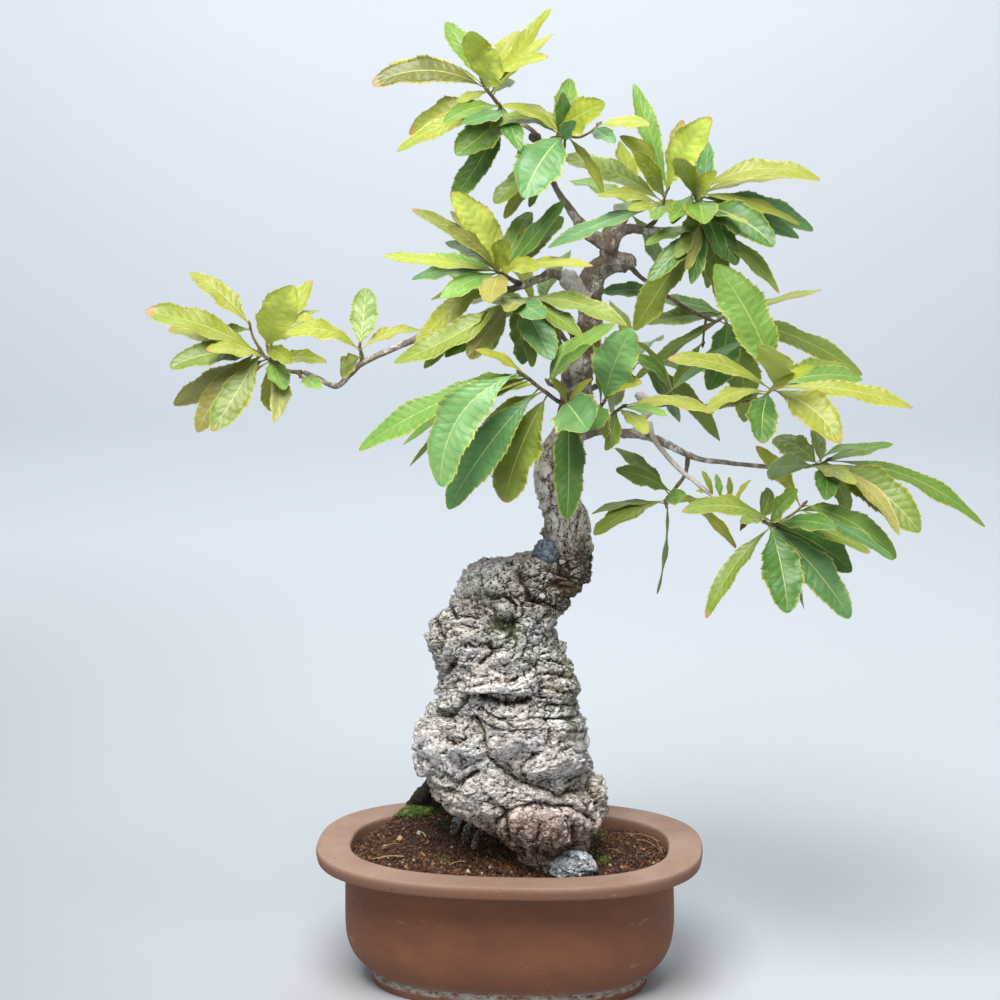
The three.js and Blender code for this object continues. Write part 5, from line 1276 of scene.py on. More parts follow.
# each spray's limb and its twigs; a twig is its path (x, z, depth, radius) and its leaves; a leaf is
# (tip x, tip z, tip depth behind the twig's end, width, turn, bow, sway, tone)
sprays = {
    "spray_far_left": ("leftArm", [
        ([(-225, 631, -13, 2.2), (-246, 645, -14, 1.9), (-255, 650, -15, 1.7)], [
            (-364, 689, -30, 31, 40, 0.06, 0.02, "y"), (-341, 672, 24, 26, 45, 0.08, 0.02, "y"),
            (-340, 634, -36, 26, 30, 0.08, 0.05, "o"), (-304, 651, -48, 22, 55, 0.06, 0, "y"),
            (-336, 596, 20, 26, 150, 0.05, 0, "k"), (-312, 585, -10, 18, 140, 0.06, 0, "y"),
            (-313, 569, -26, 27, 25, 0.05, 0.03, "k"), (-298, 570, -50, 28, 20, 0.05, -0.03, "o"),
            (-272, 618, 30, 16, 40, 0.05, 0, "y")]),
        ([(-246, 645, -14, 1.7), (-256, 662, -20, 1.5), (-260, 676, -24, 1.3)], [
            (-320, 728, 20, 22, 40, 0.06, 0.03, "y"), (-295, 668, 44, 12, 30, 0.05, 0, "o")]),
        ([(-228, 633, -13, 2), (-241, 647, -4, 1.6), (-243, 655, 0, 1.4)], [
            (-217, 716, -58, 36, 8, 0.08, 0.02, "w"), (-198, 721, 30, 24, 35, 0.06, 0, "y"),
            (-236, 579, -40, 20, 160, 0.05, -0.1, "k"), (-232, 588, 28, 24, 20, 0.05, -0.06, "y"),
            (-226, 611, -34, 22, 30, 0.05, -0.05, "l"), (-183, 639, 26, 18, 45, 0.06, 0.04, "y"),
            (-218, 638, -46, 16, 20, 0.05, 0, "y")]),
        ([(-228, 634, -13, 1.8), (-239, 656, -10, 1.4), (-226, 677, -8, 1.2)], [
            (-193, 672, -24, 15, 60, 0.14, 0.12, "y"), (-190, 690, 40, 16, 60, 0.08, 0.02, "y")]),
        ([(-214, 629, -13, 2), (-208, 624, -20, 1.5)], [
            (-190, 612, -34, 16, 30, 0.05, 0, "l")]),
    ]),
    "spray_left_shoot": ("leftShoot", [
        ([(-150, 651, -27, 1.7), (-150, 655, -28, 1.5)], [
            (-144, 713, 26, 25, 172, 0.04, 0, "l"), (-87, 670, 40, 18, 62, 0.1, 0.03, "y"),
            (-225, 667, -34, 24, 50, 0.14, 0.08, "y"), (-170, 628, -46, 20, 150, 0.06, 0, "y")]),
    ]),
    "spray_top": ("leader", [
        ([(-16, 902, -30, 2.1), (-24, 912, -32, 1.8), (-28, 920, -33, 1.6)], [
            (-64, 979, 36, 22, 20, 0.06, 0, "g"), (-39, 970, -50, 24, 165, 0.05, 0, "w"),
            (-12, 951, -46, 30, 30, 0.06, 0, "w"), (8, 970, 50, 22, 40, 0.06, 0.02, "y"),
            (41, 992, -10, 19, 50, 0.05, -0.02, "y"), (44, 967, 44, 16, 55, 0.06, 0.03, "y"),
            (38, 944, -40, 18, 55, 0.06, 0.02, "y"), (-121, 937, 36, 18, 65, 0.08, 0.08, "y"),
            # the first leaf here takes tone n: partly its own brownish yellow and partly painted shade
            # against the top lamp's light
            (-138, 917, -26, 27, 35, 0.09, 0.1, "n"), (-52, 898, -30, 14, 60, 0.05, 0, "y"),
            (3, 921, 56, 14, 40, 0.05, 0, "l")]),
        ([(-5, 886, -28, 2), (-8, 892, -36, 1.7), (-10, 896, -42, 1.5)], [
            (-101, 867, 10, 27, 30, 0.08, 0.06, "y"), (-66, 878, -50, 21, 45, 0.08, 0.03, "g"),
            (-113, 850, -22, 20, 55, 0.06, 0.02, "y"), (-48, 877, -76, 16, 45, 0.05, -0.05, "b"),
            (-54, 846, -36, 33, 25, 0.06, -0.06, "g"), (-58, 801, 4, 24, 20, 0.05, -0.06, "d"),
            (-30, 838, 44, 20, 30, 0.05, 0, "o"), (10, 850, -40, 18, 20, 0.05, 0, "d")]),
    ]),
    "spray_top_right": ("sideTop", [
        ([(54, 864, -41, 2), (56, 867, -44, 1.8)], [
            (13, 803, -58, 42, 12, 0.08, 0.04, "b"), (-8, 895, -34, 16, 60, 0.06, 0.05, "y"),
            (-20, 875, -24, 17, 55, 0.12, 0.12, "o"), (52, 909, -20, 16, 30, 0.05, 0, "b"),
            (61, 922, 44, 22, 20, 0.05, 0, "l"), (95, 898, -50, 30, 30, 0.06, 0.02, "y"),
            (94, 804, -20, 14, 50, 0.05, 0.05, "y"), (10, 898, 60, 16, 50, 0.05, 0.03, "y"),
            (66, 880, -58, 14, 20, 0.05, 0, "b")]),
        ([(54, 864, -41, 1.8), (62, 864, -46, 1.7), (70, 864, -46, 1.6), (80, 869, -46, 1.4),
          (88, 876, -45, 1.2)], [
            (140, 876, -20, 17, 50, 0.06, 0.04, "y"), (105, 858, -46, 16, 35, 0.06, -0.04, "b")]),
        ([(55, 865, -42, 1.7), (54, 846, -34, 1.4)], [
            (-16, 798, -22, 24, 35, 0.06, 0, "o"), (19, 794, 24, 14, 40, 0.05, 0, "o"),
            (-6, 783, 34, 15, 30, 0.05, 0, "y")]),
    ]),
    "spray_right_twig": ("rightTwig", [
        ([(153, 797, -23, 1.9), (155, 806, -25, 1.7), (158, 813, -26, 1.6)], [
            (124, 917, 10, 20, 25, 0.05, -0.02, "l"), (202, 883, -60, 30, 30, 0.06, 0.03, "w"),
            (110, 865, -20, 22, 45, 0.06, 0.1, "y"), (124, 849, -62, 18, 40, 0.06, 0, "y"),
            (53, 844, 14, 29, 50, 0.05, 0.03, "o"), (88, 805, -44, 16, 60, 0.06, 0.04, "y"),
            (173, 881, 50, 20, 20, 0.05, 0, "k")]),
        ([(152, 795, -23, 1.6), (149, 795, -32, 1.4)], [
            (38, 753, -44, 21, 50, 0.06, -0.02, "b"), (118, 791, -36, 14, 55, 0.05, 0, "y"),
            (146, 781, -50, 18, 40, 0.05, -0.04, "g")]),
    ]),
    "spray_upper_right": ("rightArm", [
        ([(190, 788, -32, 2.3), (187, 800, -38, 2), (184, 808, -42, 1.8)], [
            (310, 821, -20, 22, 45, 0.1, 0.1, "y"), (283, 823, 34, 17, 62, 0.06, 0.03, "y"),
            (166, 843, -64, 20, 150, 0.06, 0, "y"), (207, 829, -60, 16, 50, 0.08, 0, "y"),
            (264, 755, -44, 30, 30, 0.06, 0.06, "d"), (243, 784, 20, 24, 45, 0.06, 0.05, "o"),
            (290, 776, 6, 17, 60, 0.06, 0.03, "y"), (303, 771, 50, 24, 30, 0.06, 0.03, "b"),
            (289, 763, 30, 20, 30, 0.05, 0.02, "b"), (194, 777, -74, 29, 15, 0.08, 0, "g"),
            (162, 779, -56, 17, 60, 0.06, 0.03, "g"), (198, 859, 30, 18, 20, 0.05, 0, "b"),
            (163, 777, -48, 18, 40, 0.06, 0, "g"), (214, 742, -20, 20, 30, 0.05, 0, "d"),
            (176, 758, 10, 22, 40, 0.05, 0, "o")]),
        ([(190, 790, -33, 2), (193, 781, -40, 1.8), (191, 772, -44, 1.6)], [
            (136, 756, -26, 16, 60, 0.06, 0.03, "g"), (138, 720, -34, 20, 22, 0.05, -0.03, "d"),
            (181, 717, -46, 17, 20, 0.05, 0, "d"), (210, 701, 4, 27, 30, 0.05, 0.03, "o"),
            (198, 713, 36, 17, 40, 0.05, 0, "o"), (227, 736, -16, 22, 20, 0.05, 0.03, "d"),
            (269, 708, -18, 20, 50, 0.06, 0.05, "o"), (124, 671, 26, 36, 40, 0.05, -0.04, "o"),
            (166, 743, -30, 16, 30, 0.05, 0, "o"), (238, 777, -60, 12, 80, 0.06, 0.02, "y"),
            (175, 731, -60, 12, 40, 0.05, 0, "k")]),
    ]),
    "spray_behind_right": ("brownTwig", [
        ([(205, 680, 62, 2.1), (214, 684, 64, 1.8), (224, 688, 66, 1.5)], [
            (133, 679, 30, 24, 50, 0.06, -0.04, "o"), (125, 621, 10, 18, 50, 0.04, 0, "o"),
            (198, 611, -30, 34, 25, 0.06, 0.05, "d"), (235, 579, 20, 34, 30, 0.05, 0.04, "o"),
            (312, 711, 34, 15, 65, 0.05, -0.06, "y"), (205, 689, 70, 26, 30, 0.05, 0.02, "o"),
            (237, 653, 50, 11, 60, 0.05, 0, "o"), (240, 668, -24, 16, 20, 0.05, 0, "b"),
            (147, 702, 12, 20, 50, 0.05, 0, "d"), (352, 626, -10, 28, 40, 0.06, 0.03, "o"),
            (92, 709, -40, 17, 40, 0.05, 0.02, "b"), (262, 640, 10, 22, 45, 0.06, 0, "o")]),
        ([(196, 682, 58, 1.6), (194, 668, 60, 1.4), (193, 658, 61, 1.2)], [
            (165, 613, -20, 18, 40, 0.05, 0, "o")]),
    ]),
    "spray_right": ("midArm", [
        ([(263, 613, -61, 1.9), (267, 617, -62, 1.8)], [
            (205, 737, -6, 40, 12, 0.06, 0.04, "l"), (262, 654, -66, 40, 150, 0.05, 0, "w"),
            (158, 642, -10, 21, 48, 0.08, 0.05, "y"), (196, 588, -34, 19, 55, 0.1, 0.08, "y"),
            (208, 592, -14, 20, 45, 0.1, 0.08, "y"), (304, 634, -56, 15, 50, 0.05, 0.02, "y"),
            (352, 622, 30, 23, 42, 0.06, 0.04, "l"), (403, 593, -26, 21, 45, 0.05, 0.03, "y"),
            (331, 558, -50, 32, 25, 0.07, 0.08, "y"), (252, 558, -62, 28, 12, 0.06, -0.05, "d"),
            (338, 634, 52, 28, 40, 0.05, 0.04, "o")]),
    ]),
    "spray_far_right": ("longArm", [
        ([(312, 537, -30, 2), (318, 541, -31, 1.8)], [
            (475, 474, -16, 24, 48, 0.07, 0.07, "g"), (410, 469, -56, 36, 20, 0.06, 0.06, "o"),
            (389, 466, -90, 20, 50, 0.08, 0.06, "k"), (383, 557, 40, 17, 45, 0.05, 0, "g"),
            (359, 551, -24, 12, 65, 0.12, 0.1, "l"), (346, 517, -66, 18, 45, 0.05, 0.02, "y"),
            (316, 501, -54, 22, 10, 0.05, 0, "d"), (339, 489, 26, 18, 30, 0.05, 0.02, "o"),
            (304, 573, 44, 15, 30, 0.05, 0, "o"), (264, 563, 34, 27, 40, 0.06, 0.06, "o"),
            (257, 530, -92, 25, 150, 0.05, 0, "l")]),
    ]),
    "spray_lower_right": ("lowArm", [
        ([(262, 476, -68, 2.2), (268, 476, -69, 2)], [
            (172, 489, -26, 23, 45, 0.07, 0.1, "o"), (196, 383, -30, 20, 35, 0.05, 0.04, "o"),
            (278, 388, -54, 37, 10, 0.05, 0.02, "d"), (340, 383, -36, 33, 22, 0.05, 0.03, "b"),
            (342, 430, 10, 34, 25, 0.06, 0.04, "d"), (360, 448, -44, 18, 50, 0.06, 0.04, "o"),
            (327, 473, -62, 19, 40, 0.06, 0.03, "d"), (349, 466, 30, 18, 50, 0.06, 0.04, "y"),
            (288, 511, -58, 20, 40, 0.05, 0, "g"), (294, 392, 24, 14, 70, 0.05, -0.04, "o"),
            (230, 478, -66, 12, 50, 0.05, 0, "o"), (260, 512, 36, 18, 40, 0.05, 0, "o"),
            (192, 530, 18, 8, 40, 0.06, 0, "y"), (186, 510, 22, 8, 60, 0.06, 0.02, "l"),
            (206, 527, 20, 7, 30, 0.06, 0, "l"), (219, 524, 16, 8, 50, 0.08, 0, "y"),
            (241, 521, 8, 8, 60, 0.08, 0.03, "y"), (230, 470, 2, 13, 50, 0.2, 0.2, "r")]),
        ([(266, 477, -69, 1.8), (284, 488, -62, 1.6), (294, 497, -58, 1.4)], [
            (386, 443, -10, 26, 35, 0.06, 0.06, "l"), (246, 555, 14, 20, 45, 0.05, 0.03, "y"),
            (383, 441, -50, 20, 60, 0.05, 0, "b"), (341, 490, 36, 12, 50, 0.05, 0, "o")]),
    ]),
    "spray_low_middle": ("hangTwig", [
        ([(155, 499, -17, 1.8), (156, 496, -18, 1.7)], [
            (82, 487, -30, 14, 65, 0.06, 0.04, "o"), (84, 466, -46, 27, 50, 0.06, 0.02, "o"),
            (147, 407, -8, 15, 75, 0.04, -0.03, "g"), (105, 553, 30, 18, 50, 0.05, 0.02, "g"),
            (106, 531, -24, 20, 45, 0.06, 0.02, "g"), (226, 453, -20, 16, 50, 0.05, 0.02, "y"),
            (198, 499, 34, 13, 60, 0.05, 0.02, "y"), (176, 507, -30, 14, 20, 0.05, 0, "l")]),
    ]),
    "spray_small_right": ("smallTwig", [
        ([(160, 609, 6, 1.6), (163, 612, 7, 1.5)], [
            (126, 660, 10, 12, 60, 0.08, 0.06, "y"), (122, 644, -30, 15, 50, 0.1, 0.1, "g"),
            (232, 659, 20, 15, 50, 0.05, 0, "b"), (188, 595, -34, 10, 50, 0.05, 0, "l")]),
    ]),
    "spray_middle": ("midRight", [
        ([(94, 598, -66, 2.1), (95, 600, -70, 2)], [
            # the first leaf here takes tone f, lighter where the leaves above shade it: painted light
            (122, 672, -40, 40, 14, 0.06, 0.03, "f"), (124, 648, 20, 20, 40, 0.05, 0, "y"),
            (132, 618, -36, 18, 45, 0.12, 0.12, "y"), (80, 570, -54, 28, 25, 0.05, 0, "d"),
            (83, 656, -10, 12, 60, 0.05, 0, "l"),
            (94, 563, -30, 14, 50, 0.05, 0, "y")]),
    ]),
    "spray_small_middle": ("smallRight", [
        ([(112, 594, -48, 1.8), (114, 595, -50, 1.7)], [
            (204, 588, -20, 17, 50, 0.08, 0.06, "y"), (157, 585, -40, 12, 50, 0.05, 0.02, "l"),
            (137, 567, -56, 17, 40, 0.05, 0.02, "y"), (95, 551, -44, 18, 40, 0.05, 0, "o")]),
    ]),
    "spray_front_hanging": ("frontArm", [
        ([(59, 595, -70, 2.8), (57, 598, -78, 2.4), (56, 599, -84, 2.2)], [
            (78, 570, -80, 44, 4, 0.08, 0, "b"), (57, 482, -26, 28, 8, 0.05, 0.01, "d"),
            (82, 622, -10, 10, 55, 0.06, 0, "y"), (40, 624, -6, 10, 50, 0.06, 0, "y")]),
    ]),
    "spray_front_twig": ("frontTwig", [
        ([(39, 617, -91, 2), (37, 620, -95, 1.8)], [
            (105, 677, -40, 17, 35, 0.06, 0.04, "l"), (65, 663, 6, 14, 45, 0.06, 0.04, "l"),
            (80, 656, -80, 12, 50, 0.05, 0, "g")]),
    ]),
    "spray_front_left": ("frontLeft", [
        ([(12, 627, -110, 2), (9, 629, -114, 1.9)], [
            (-70, 515, -34, 40, 10, 0.08, 0.16, "f"), (-62, 492, 10, 39, 22, 0.05, 0.02, "b"),
            (-6, 499, 30, 42, 26, 0.05, 0.02, "o"), (-151, 551, 22, 29, 36, 0.06, 0.02, "l"),
            (-35, 651, -4, 14, 60, 0.08, 0.03, "y"), (-22, 603, 60, 17, 50, 0.06, 0.03, "y"),
            (-29, 569, 70, 20, 40, 0.05, 0, "y"), (-107, 556, 60, 14, 55, 0.05, 0.02, "l"),
            (-100, 535, 76, 14, 55, 0.05, 0.03, "g"),
            (-54, 612, 34, 17, 50, 0.05, 0, "g"), (-72, 588, 54, 16, 50, 0.05, 0.02, "o")]),
    ]),
    "spray_centre": ("centreTwig", [
        ([(-12, 729, -54, 2.2), (-14, 731, -58, 2)], [
            (-128, 745, -24, 18, 50, 0.05, -0.04, "y"), (-98, 722, 30, 18, 50, 0.06, 0.04, "b"),
            (-70, 702, -34, 20, 40, 0.06, 0.02, "l"), (-96, 651, -10, 23, 35, 0.05, 0.03, "y"),
            (-98, 792, 50, 17, 45, 0.06, 0.03, "y"), (-58, 809, -30, 31, 22, 0.05, 0.03, "w"),
            (-63, 774, -56, 15, 45, 0.06, 0.03, "k"), (-64, 759, 60, 16, 40, 0.05, 0.02, "l"),
            (-27, 796, 60, 15, 40, 0.05, 0.03, "l"), (20, 789, 50, 22, 30, 0.05, 0, "l"),
            (55, 800, -4, 21, 45, 0.05, -0.04, "d"), (53, 784, 34, 27, 30, 0.05, 0.04, "g"),
            (-2, 761, -44, 22, 30, 0.05, 0, "y"), (83, 735, -30, 17, 55, 0.05, 0.04, "y"),
            (28, 731, -54, 20, 45, 0.07, 0.05, "y"), (-20, 698, -66, 26, 30, 0.06, 0, "k"),
            (6, 763, 30, 20, 30, 0.05, 0, "y"), (-79, 701, 6, 12, 60, 0.05, -0.02, "y"),
            (-59, 790, 40, 16, 50, 0.05, 0.02, "k"), (-40, 776, 30, 18, 40, 0.05, 0, "g"),
            (-84, 746, 20, 15, 45, 0.05, 0, "l")]),
    ]),
    "spray_lower_centre": ("middleTwig", [
        ([(9, 702, -52, 2.4), (2, 702, -58, 2.1), (-2, 700, -62, 1.9)], [
            (-116, 638, -20, 28, 40, 0.06, -0.1, "o"), (-65, 644, 10, 22, 35, 0.05, -0.04, "g"),
            (-42, 644, -34, 30, 150, 0.05, 0.02, "k"), (10, 655, 20, 24, 30, 0.05, 0, "o"),
            (14, 637, 44, 24, 30, 0.05, 0, "d"), (42, 641, -44, 32, 22, 0.05, -0.02, "b"),
            (53, 639, 6, 25, 35, 0.06, 0.05, "o"), (35, 683, -60, 24, 30, 0.06, -0.02, "b"),
            (73, 663, -26, 21, 45, 0.06, 0.03, "o"), (117, 675, -30, 24, 48, 0.06, 0.06, "o"),
            (22, 634, -14, 18, 40, 0.05, 0, "o"), (-4, 689, -60, 22, 40, 0.05, 0, "k"),
            (-86, 633, 20, 18, 40, 0.05, 0, "g"), (-20, 650, 30, 19, 45, 0.05, 0, "o")]),
    ]),
    "spray_back_left": ("backLeft", [
        ([(24, 693, 92, 2.2), (20, 696, 98, 2)], [
            (-70, 730, 20, 26, 60, 0.06, 0, "g"), (-50, 700, 70, 26, 60, 0.06, 0, "o"),
            (-10, 760, 60, 26, 50, 0.06, 0, "y"), (40, 700, 104, 28, 60, 0.06, 0, "g"),
            (10, 640, 84, 26, 50, 0.06, 0, "o"), (60, 750, 76, 26, 60, 0.06, 0, "g"),
            (-20, 690, 110, 26, 70, 0.06, 0, "l"), (-60, 660, 40, 24, 50, 0.06, 0, "g")]),
    ]),
    "spray_back_right": ("backRight", [
        ([(129, 640, 100, 2.1), (132, 643, 105, 1.9)], [
            (60, 650, 60, 26, 60, 0.06, 0, "g"), (100, 590, 70, 26, 50, 0.06, 0, "o"),
            (170, 580, 60, 26, 50, 0.06, 0, "g"), (220, 620, 60, 26, 60, 0.06, 0, "g"),
            (150, 660, 110, 28, 70, 0.06, 0, "l"), (100, 700, 80, 26, 60, 0.06, 0, "y"),
            (210, 560, 20, 24, 50, 0.06, 0, "o")]),
    ]),
    "spray_back_top": ("backTop", [
        ([(121, 792, 78, 2), (123, 795, 83, 1.8)], [
            (60, 820, 60, 26, 60, 0.06, 0, "g"), (110, 860, 50, 26, 50, 0.06, 0, "y"),
            (220, 780, 50, 26, 60, 0.06, 0, "o"), (150, 730, 70, 26, 50, 0.06, 0, "g"),
            (90, 740, 80, 26, 60, 0.06, 0, "o"), (130, 800, 110, 28, 70, 0.06, 0, "l"),
            (190, 840, 60, 26, 60, 0.06, 0, "g")]),
    ]),
}

leafLook = {
    "thickness": 0.36, "stalkRadius": 0.8, "stalkShare": 0.07, "toothPitch": 8.6, "toothDepth": 0.07,
    "bristle": 0.65, "foldRise": 0.16, "droop": 0.16, "quilt": 0.34, "margins": 0.13, "wander": 0.075,
    "twist": 16, "waves": 2.6, "borderWaves": 3.2, "veinLean": 1.6, "rimThinner": 0.6, "ribThicker": 1.5,
    "saw": np.array([0.0, 0.4, 0.78, 0.97]), "step": 3.4, "stepsBack": 6,
    "across": np.array([-1.0, -0.62, -0.14, 0.0, 0.14, 0.62, 1.0]),
}
# the screen colour of a leaf and how dry it is, by its tone's letter; w is a lighter yellow-green for upright
# leaves that the top lamp only grazes, which is painted light, and n is darker, partly the leaf's own
# brownish yellow and partly painted shade where the lamp lights it from above
tones = {
    "y": ((146, 153, 48), 0.62), "l": ((114, 154, 68), 0.12), "g": ((92, 128, 44), 0.2),
    "d": ((68, 116, 44), 0.3), "b": ((84, 132, 80), 0.22), "o": ((119, 138, 51), 0.45),
    "k": ((142, 138, 70), 0.5), "r": ((122, 72, 52), 0.8), "f": ((122, 172, 104), 0.1),
    "w": ((192, 206, 92), 0.5), "n": ((102, 102, 36), 0.6),
}
# leaves that spring from further back than their turn gives: millimetres from the twig's end
furtherBack = {"spray_front_left": {1: 36, 2: 52, 3: 8, 5: 30, 6: 44, 7: 16, 8: 20},
               "spray_behind_right": {10: 94},
               "spray_lower_right": {12: 70, 13: 74, 14: 62, 15: 54, 16: 46, 17: 14}}
limbLook = {
    "crumples": [(11.0, 1.3, 150), (5.2, 0.9, 151), (2.6, 0.6, 152)],  # size, lift, salt
    "slimness": 0.84, "pale": ("paleStub", "palePeg", "greyStub", "lowArm"), "heavy": 6.4, "trunkRows": 5,
    "foot": (0.45, 7),  # swelling and its length
    "nodes": (9, 23, 2.2, 0.28),  # run to the first, spacing, half length, rise
    "uneven": ((0.10, 17), (0.05, 6)),  # share, size
    "steps": {"heavy": 1.1, "light": 1.5, "shoot": 1.3},
}
leafSlots = {
    "leaf_young": ("spray_far_left", "spray_left_shoot", "spray_top", "spray_right_twig",
                   "spray_small_middle", "spray_front_left", "spray_centre"),
    "leaf_full": ("spray_upper_right", "spray_right", "spray_far_right", "spray_small_right",
                  "spray_low_middle", "spray_middle", "spray_front_twig"),
    "leaf_shaded": ("spray_behind_right", "spray_lower_right", "spray_front_hanging",
                    "spray_lower_centre", "spray_back_left", "spray_back_right", "spray_back_top",
                    "spray_top_right"),
}
bud = {"main": (6.5, 1.5), "side": (4.0, 1.0), "sideCount": 3, "spread": 0.54, "sink": 1.0, "sinkStep": 0.6}


def placed(rows):
    # rows of (x, z, depth, radius) on the view plane as [x, y, z, radius]
    rows = np.array(rows, float)
    return np.column_stack([place(rows[:, :3]), rows[:, 3]])


def barkTube(bundle, rows, step, collar, salt):
    # a limb as rings along its curve: swollen at its foot (1 + 0.45 exp(-run/7)) and at its nodes,
    # which are bells 23 mm apart; scaly where it is stout, thinning to its tip
    path = smoothPath(rows, step)
    slim = 1 - (1 - limbLook["slimness"]) * np.clip((9 - path[:, 3]) / 3, 0, 1)
    radii = path[:, 3] * slim
    run = np.concatenate([[0], np.cumsum(np.linalg.norm(np.diff(path[:, :3], axis=0), axis=1))])
    if collar:
        swelling, footLength = limbLook["foot"]
        radii *= 1 + swelling * np.exp(-run / footLength)
    (large, largeSize), (small, smallSize) = limbLook["uneven"]
    wobble = large * softNoise(path[:, :3], largeSize, salt)
    radii *= 1 + wobble + small * softNoise(path[:, :3], smallSize, salt + 1)
    firstNode, spacing, nodeHalf, nodeRise = limbLook["nodes"]
    knots = np.exp(-((run[:, None] - np.arange(firstNode, run[-1], spacing)[None]) / nodeHalf) ** 2).sum(1)
    radii += nodeRise * knots * np.clip(radii / 3, 0.5, 1.3)
    tip = np.clip((run[-1] - run) / (0.8 * radii[-1]), 0.25, 1)
    stout = float(np.max(rows[:, 3]))
    sides = 34 if stout > 8 else 24 if stout > 5 else 10
    centre = path[:, :3] + 0.5 * drift(path[:, :3], 13, (salt + 3, salt + 4, salt + 5))
    grid, out = tubeGrid(centre, radii * np.sqrt(tip), sides)
    flat = grid.reshape(-1, 3)
    scaly = np.repeat(np.clip((path[:, 3] - 2.6) / 6, 0, 1), sides)
    rise, seam = pillows(flat + 1.5 * drift(flat, 9, (120, 121, 122)), limbLook["crumples"])
    points, quads, tris = capped(pushedOut(grid, out, scaly * rise + 0.16 * roughNoise(flat, 3.4, 133, 2)))
    # darker in the seams and where the relief lies low: the seams' own dark and painted shade in the hollows
    crack = 0.6 * scaly * seam + 0.25 * scaly * np.clip(-rise, 0, 1)
    young = np.repeat(np.clip((2.9 - path[:, 3]) / 1.2, 0, 1), sides)
    bundle.add(points, quads, tris, hollow=np.append(crack * 0.8 + 0.2, [0.3, 0.3]), warm=0.8, lichen=0.1,
               young=np.append(young, [1.0, 1.0]))


def buildBranches(stoutFinish, thinFinish, paleFinish):
    # a bark tube for each limb, gathered by kind; of the upper trunk only the end, which trunk_neck lacks
    stout, thin, pale = Bundle(), Bundle(), Bundle()
    for number, (name, limb) in enumerate(limbs.items()):
        rows = placed(limb)
        heavy = rows[:, 3].max() > limbLook["heavy"]
        isTrunk = name == "upperTrunk"
        if isTrunk:
            rows = rows[-limbLook["trunkRows"]:]
        bundle = pale if name in limbLook["pale"] else stout if heavy else thin
        step = limbLook["steps"]["heavy" if heavy else "light"]
        barkTube(bundle, rows, step, not isTrunk, 140 + 7 * number)
    seat(stout.build("branches_stout"), "bark", stoutFinish)
    seat(thin.build("branches_thin"), "bark", thinFinish)
    seat(pale.build("branches_pale"), "bark", paleFinish)


def leafAxes(base, tip, turn):
    # out of the upper face, and across the blade: turn 0 shows the upper face, 90 the edge, 180 the
    # underside
    along = unit(tip - base)
    facing = unit((eye - base) - along * np.dot(eye - base, along))
    upward = np.cross(along, facing)
    if upward[2] + 0.3 * upward[0] < 0:
        upward = -upward
    c, s = math.cos(math.radians(turn)), math.sin(math.radians(turn))
    return c * facing + s * upward, c * upward - s * facing


def leafOutline(length, width, lot):
    # half widths over q from the blade's foot to its tip, sin(pi q^1.12)^(about 0.55) narrowed to the
    # foot, with saw teeth; u is the same from the stalk's end
    look = leafLook
    teeth = max(6, int(round(length * (1 - look["stalkShare"]) / look["toothPitch"])))
    stalk = np.linspace(0, look["stalkShare"], 4, endpoint=False)
    q = np.concatenate([(np.arange(teeth)[:, None] + look["saw"]).ravel() / teeth, [1.0]])
    u = np.concatenate([stalk, look["stalkShare"] + (1 - look["stalkShare"]) * q])
    q = np.concatenate([np.zeros(4), q])
    taper = np.clip(q / (0.26 + 0.16 * lot[5]), 0, 1)
    blade = np.sin(np.pi * np.minimum(1, q ** 1.12)) ** (0.44 + 0.22 * lot[3])
    blade *= (0.5 + 0.5 * taper ** 2 * (3 - 2 * taper)) * (1 + 0.05 * np.sin(6.3 * lot[0] + 9 * q))
    phase = (q * teeth) % 1
    tooth = np.where(q < 0.999, look["toothDepth"] * (phase - 0.55), 0) + np.where(phase > 0.9, 0.02, 0)
    half = np.maximum(0.54 * width * blade * (1 + tooth), 0)
    half += np.where((phase > 0.9) & (q > 0.12), look["bristle"] * 0.5, 0)
    half = np.maximum(half, np.where(u < look["stalkShare"] + 0.01, look["stalkRadius"], 0.12))
    return u, q, half, teeth


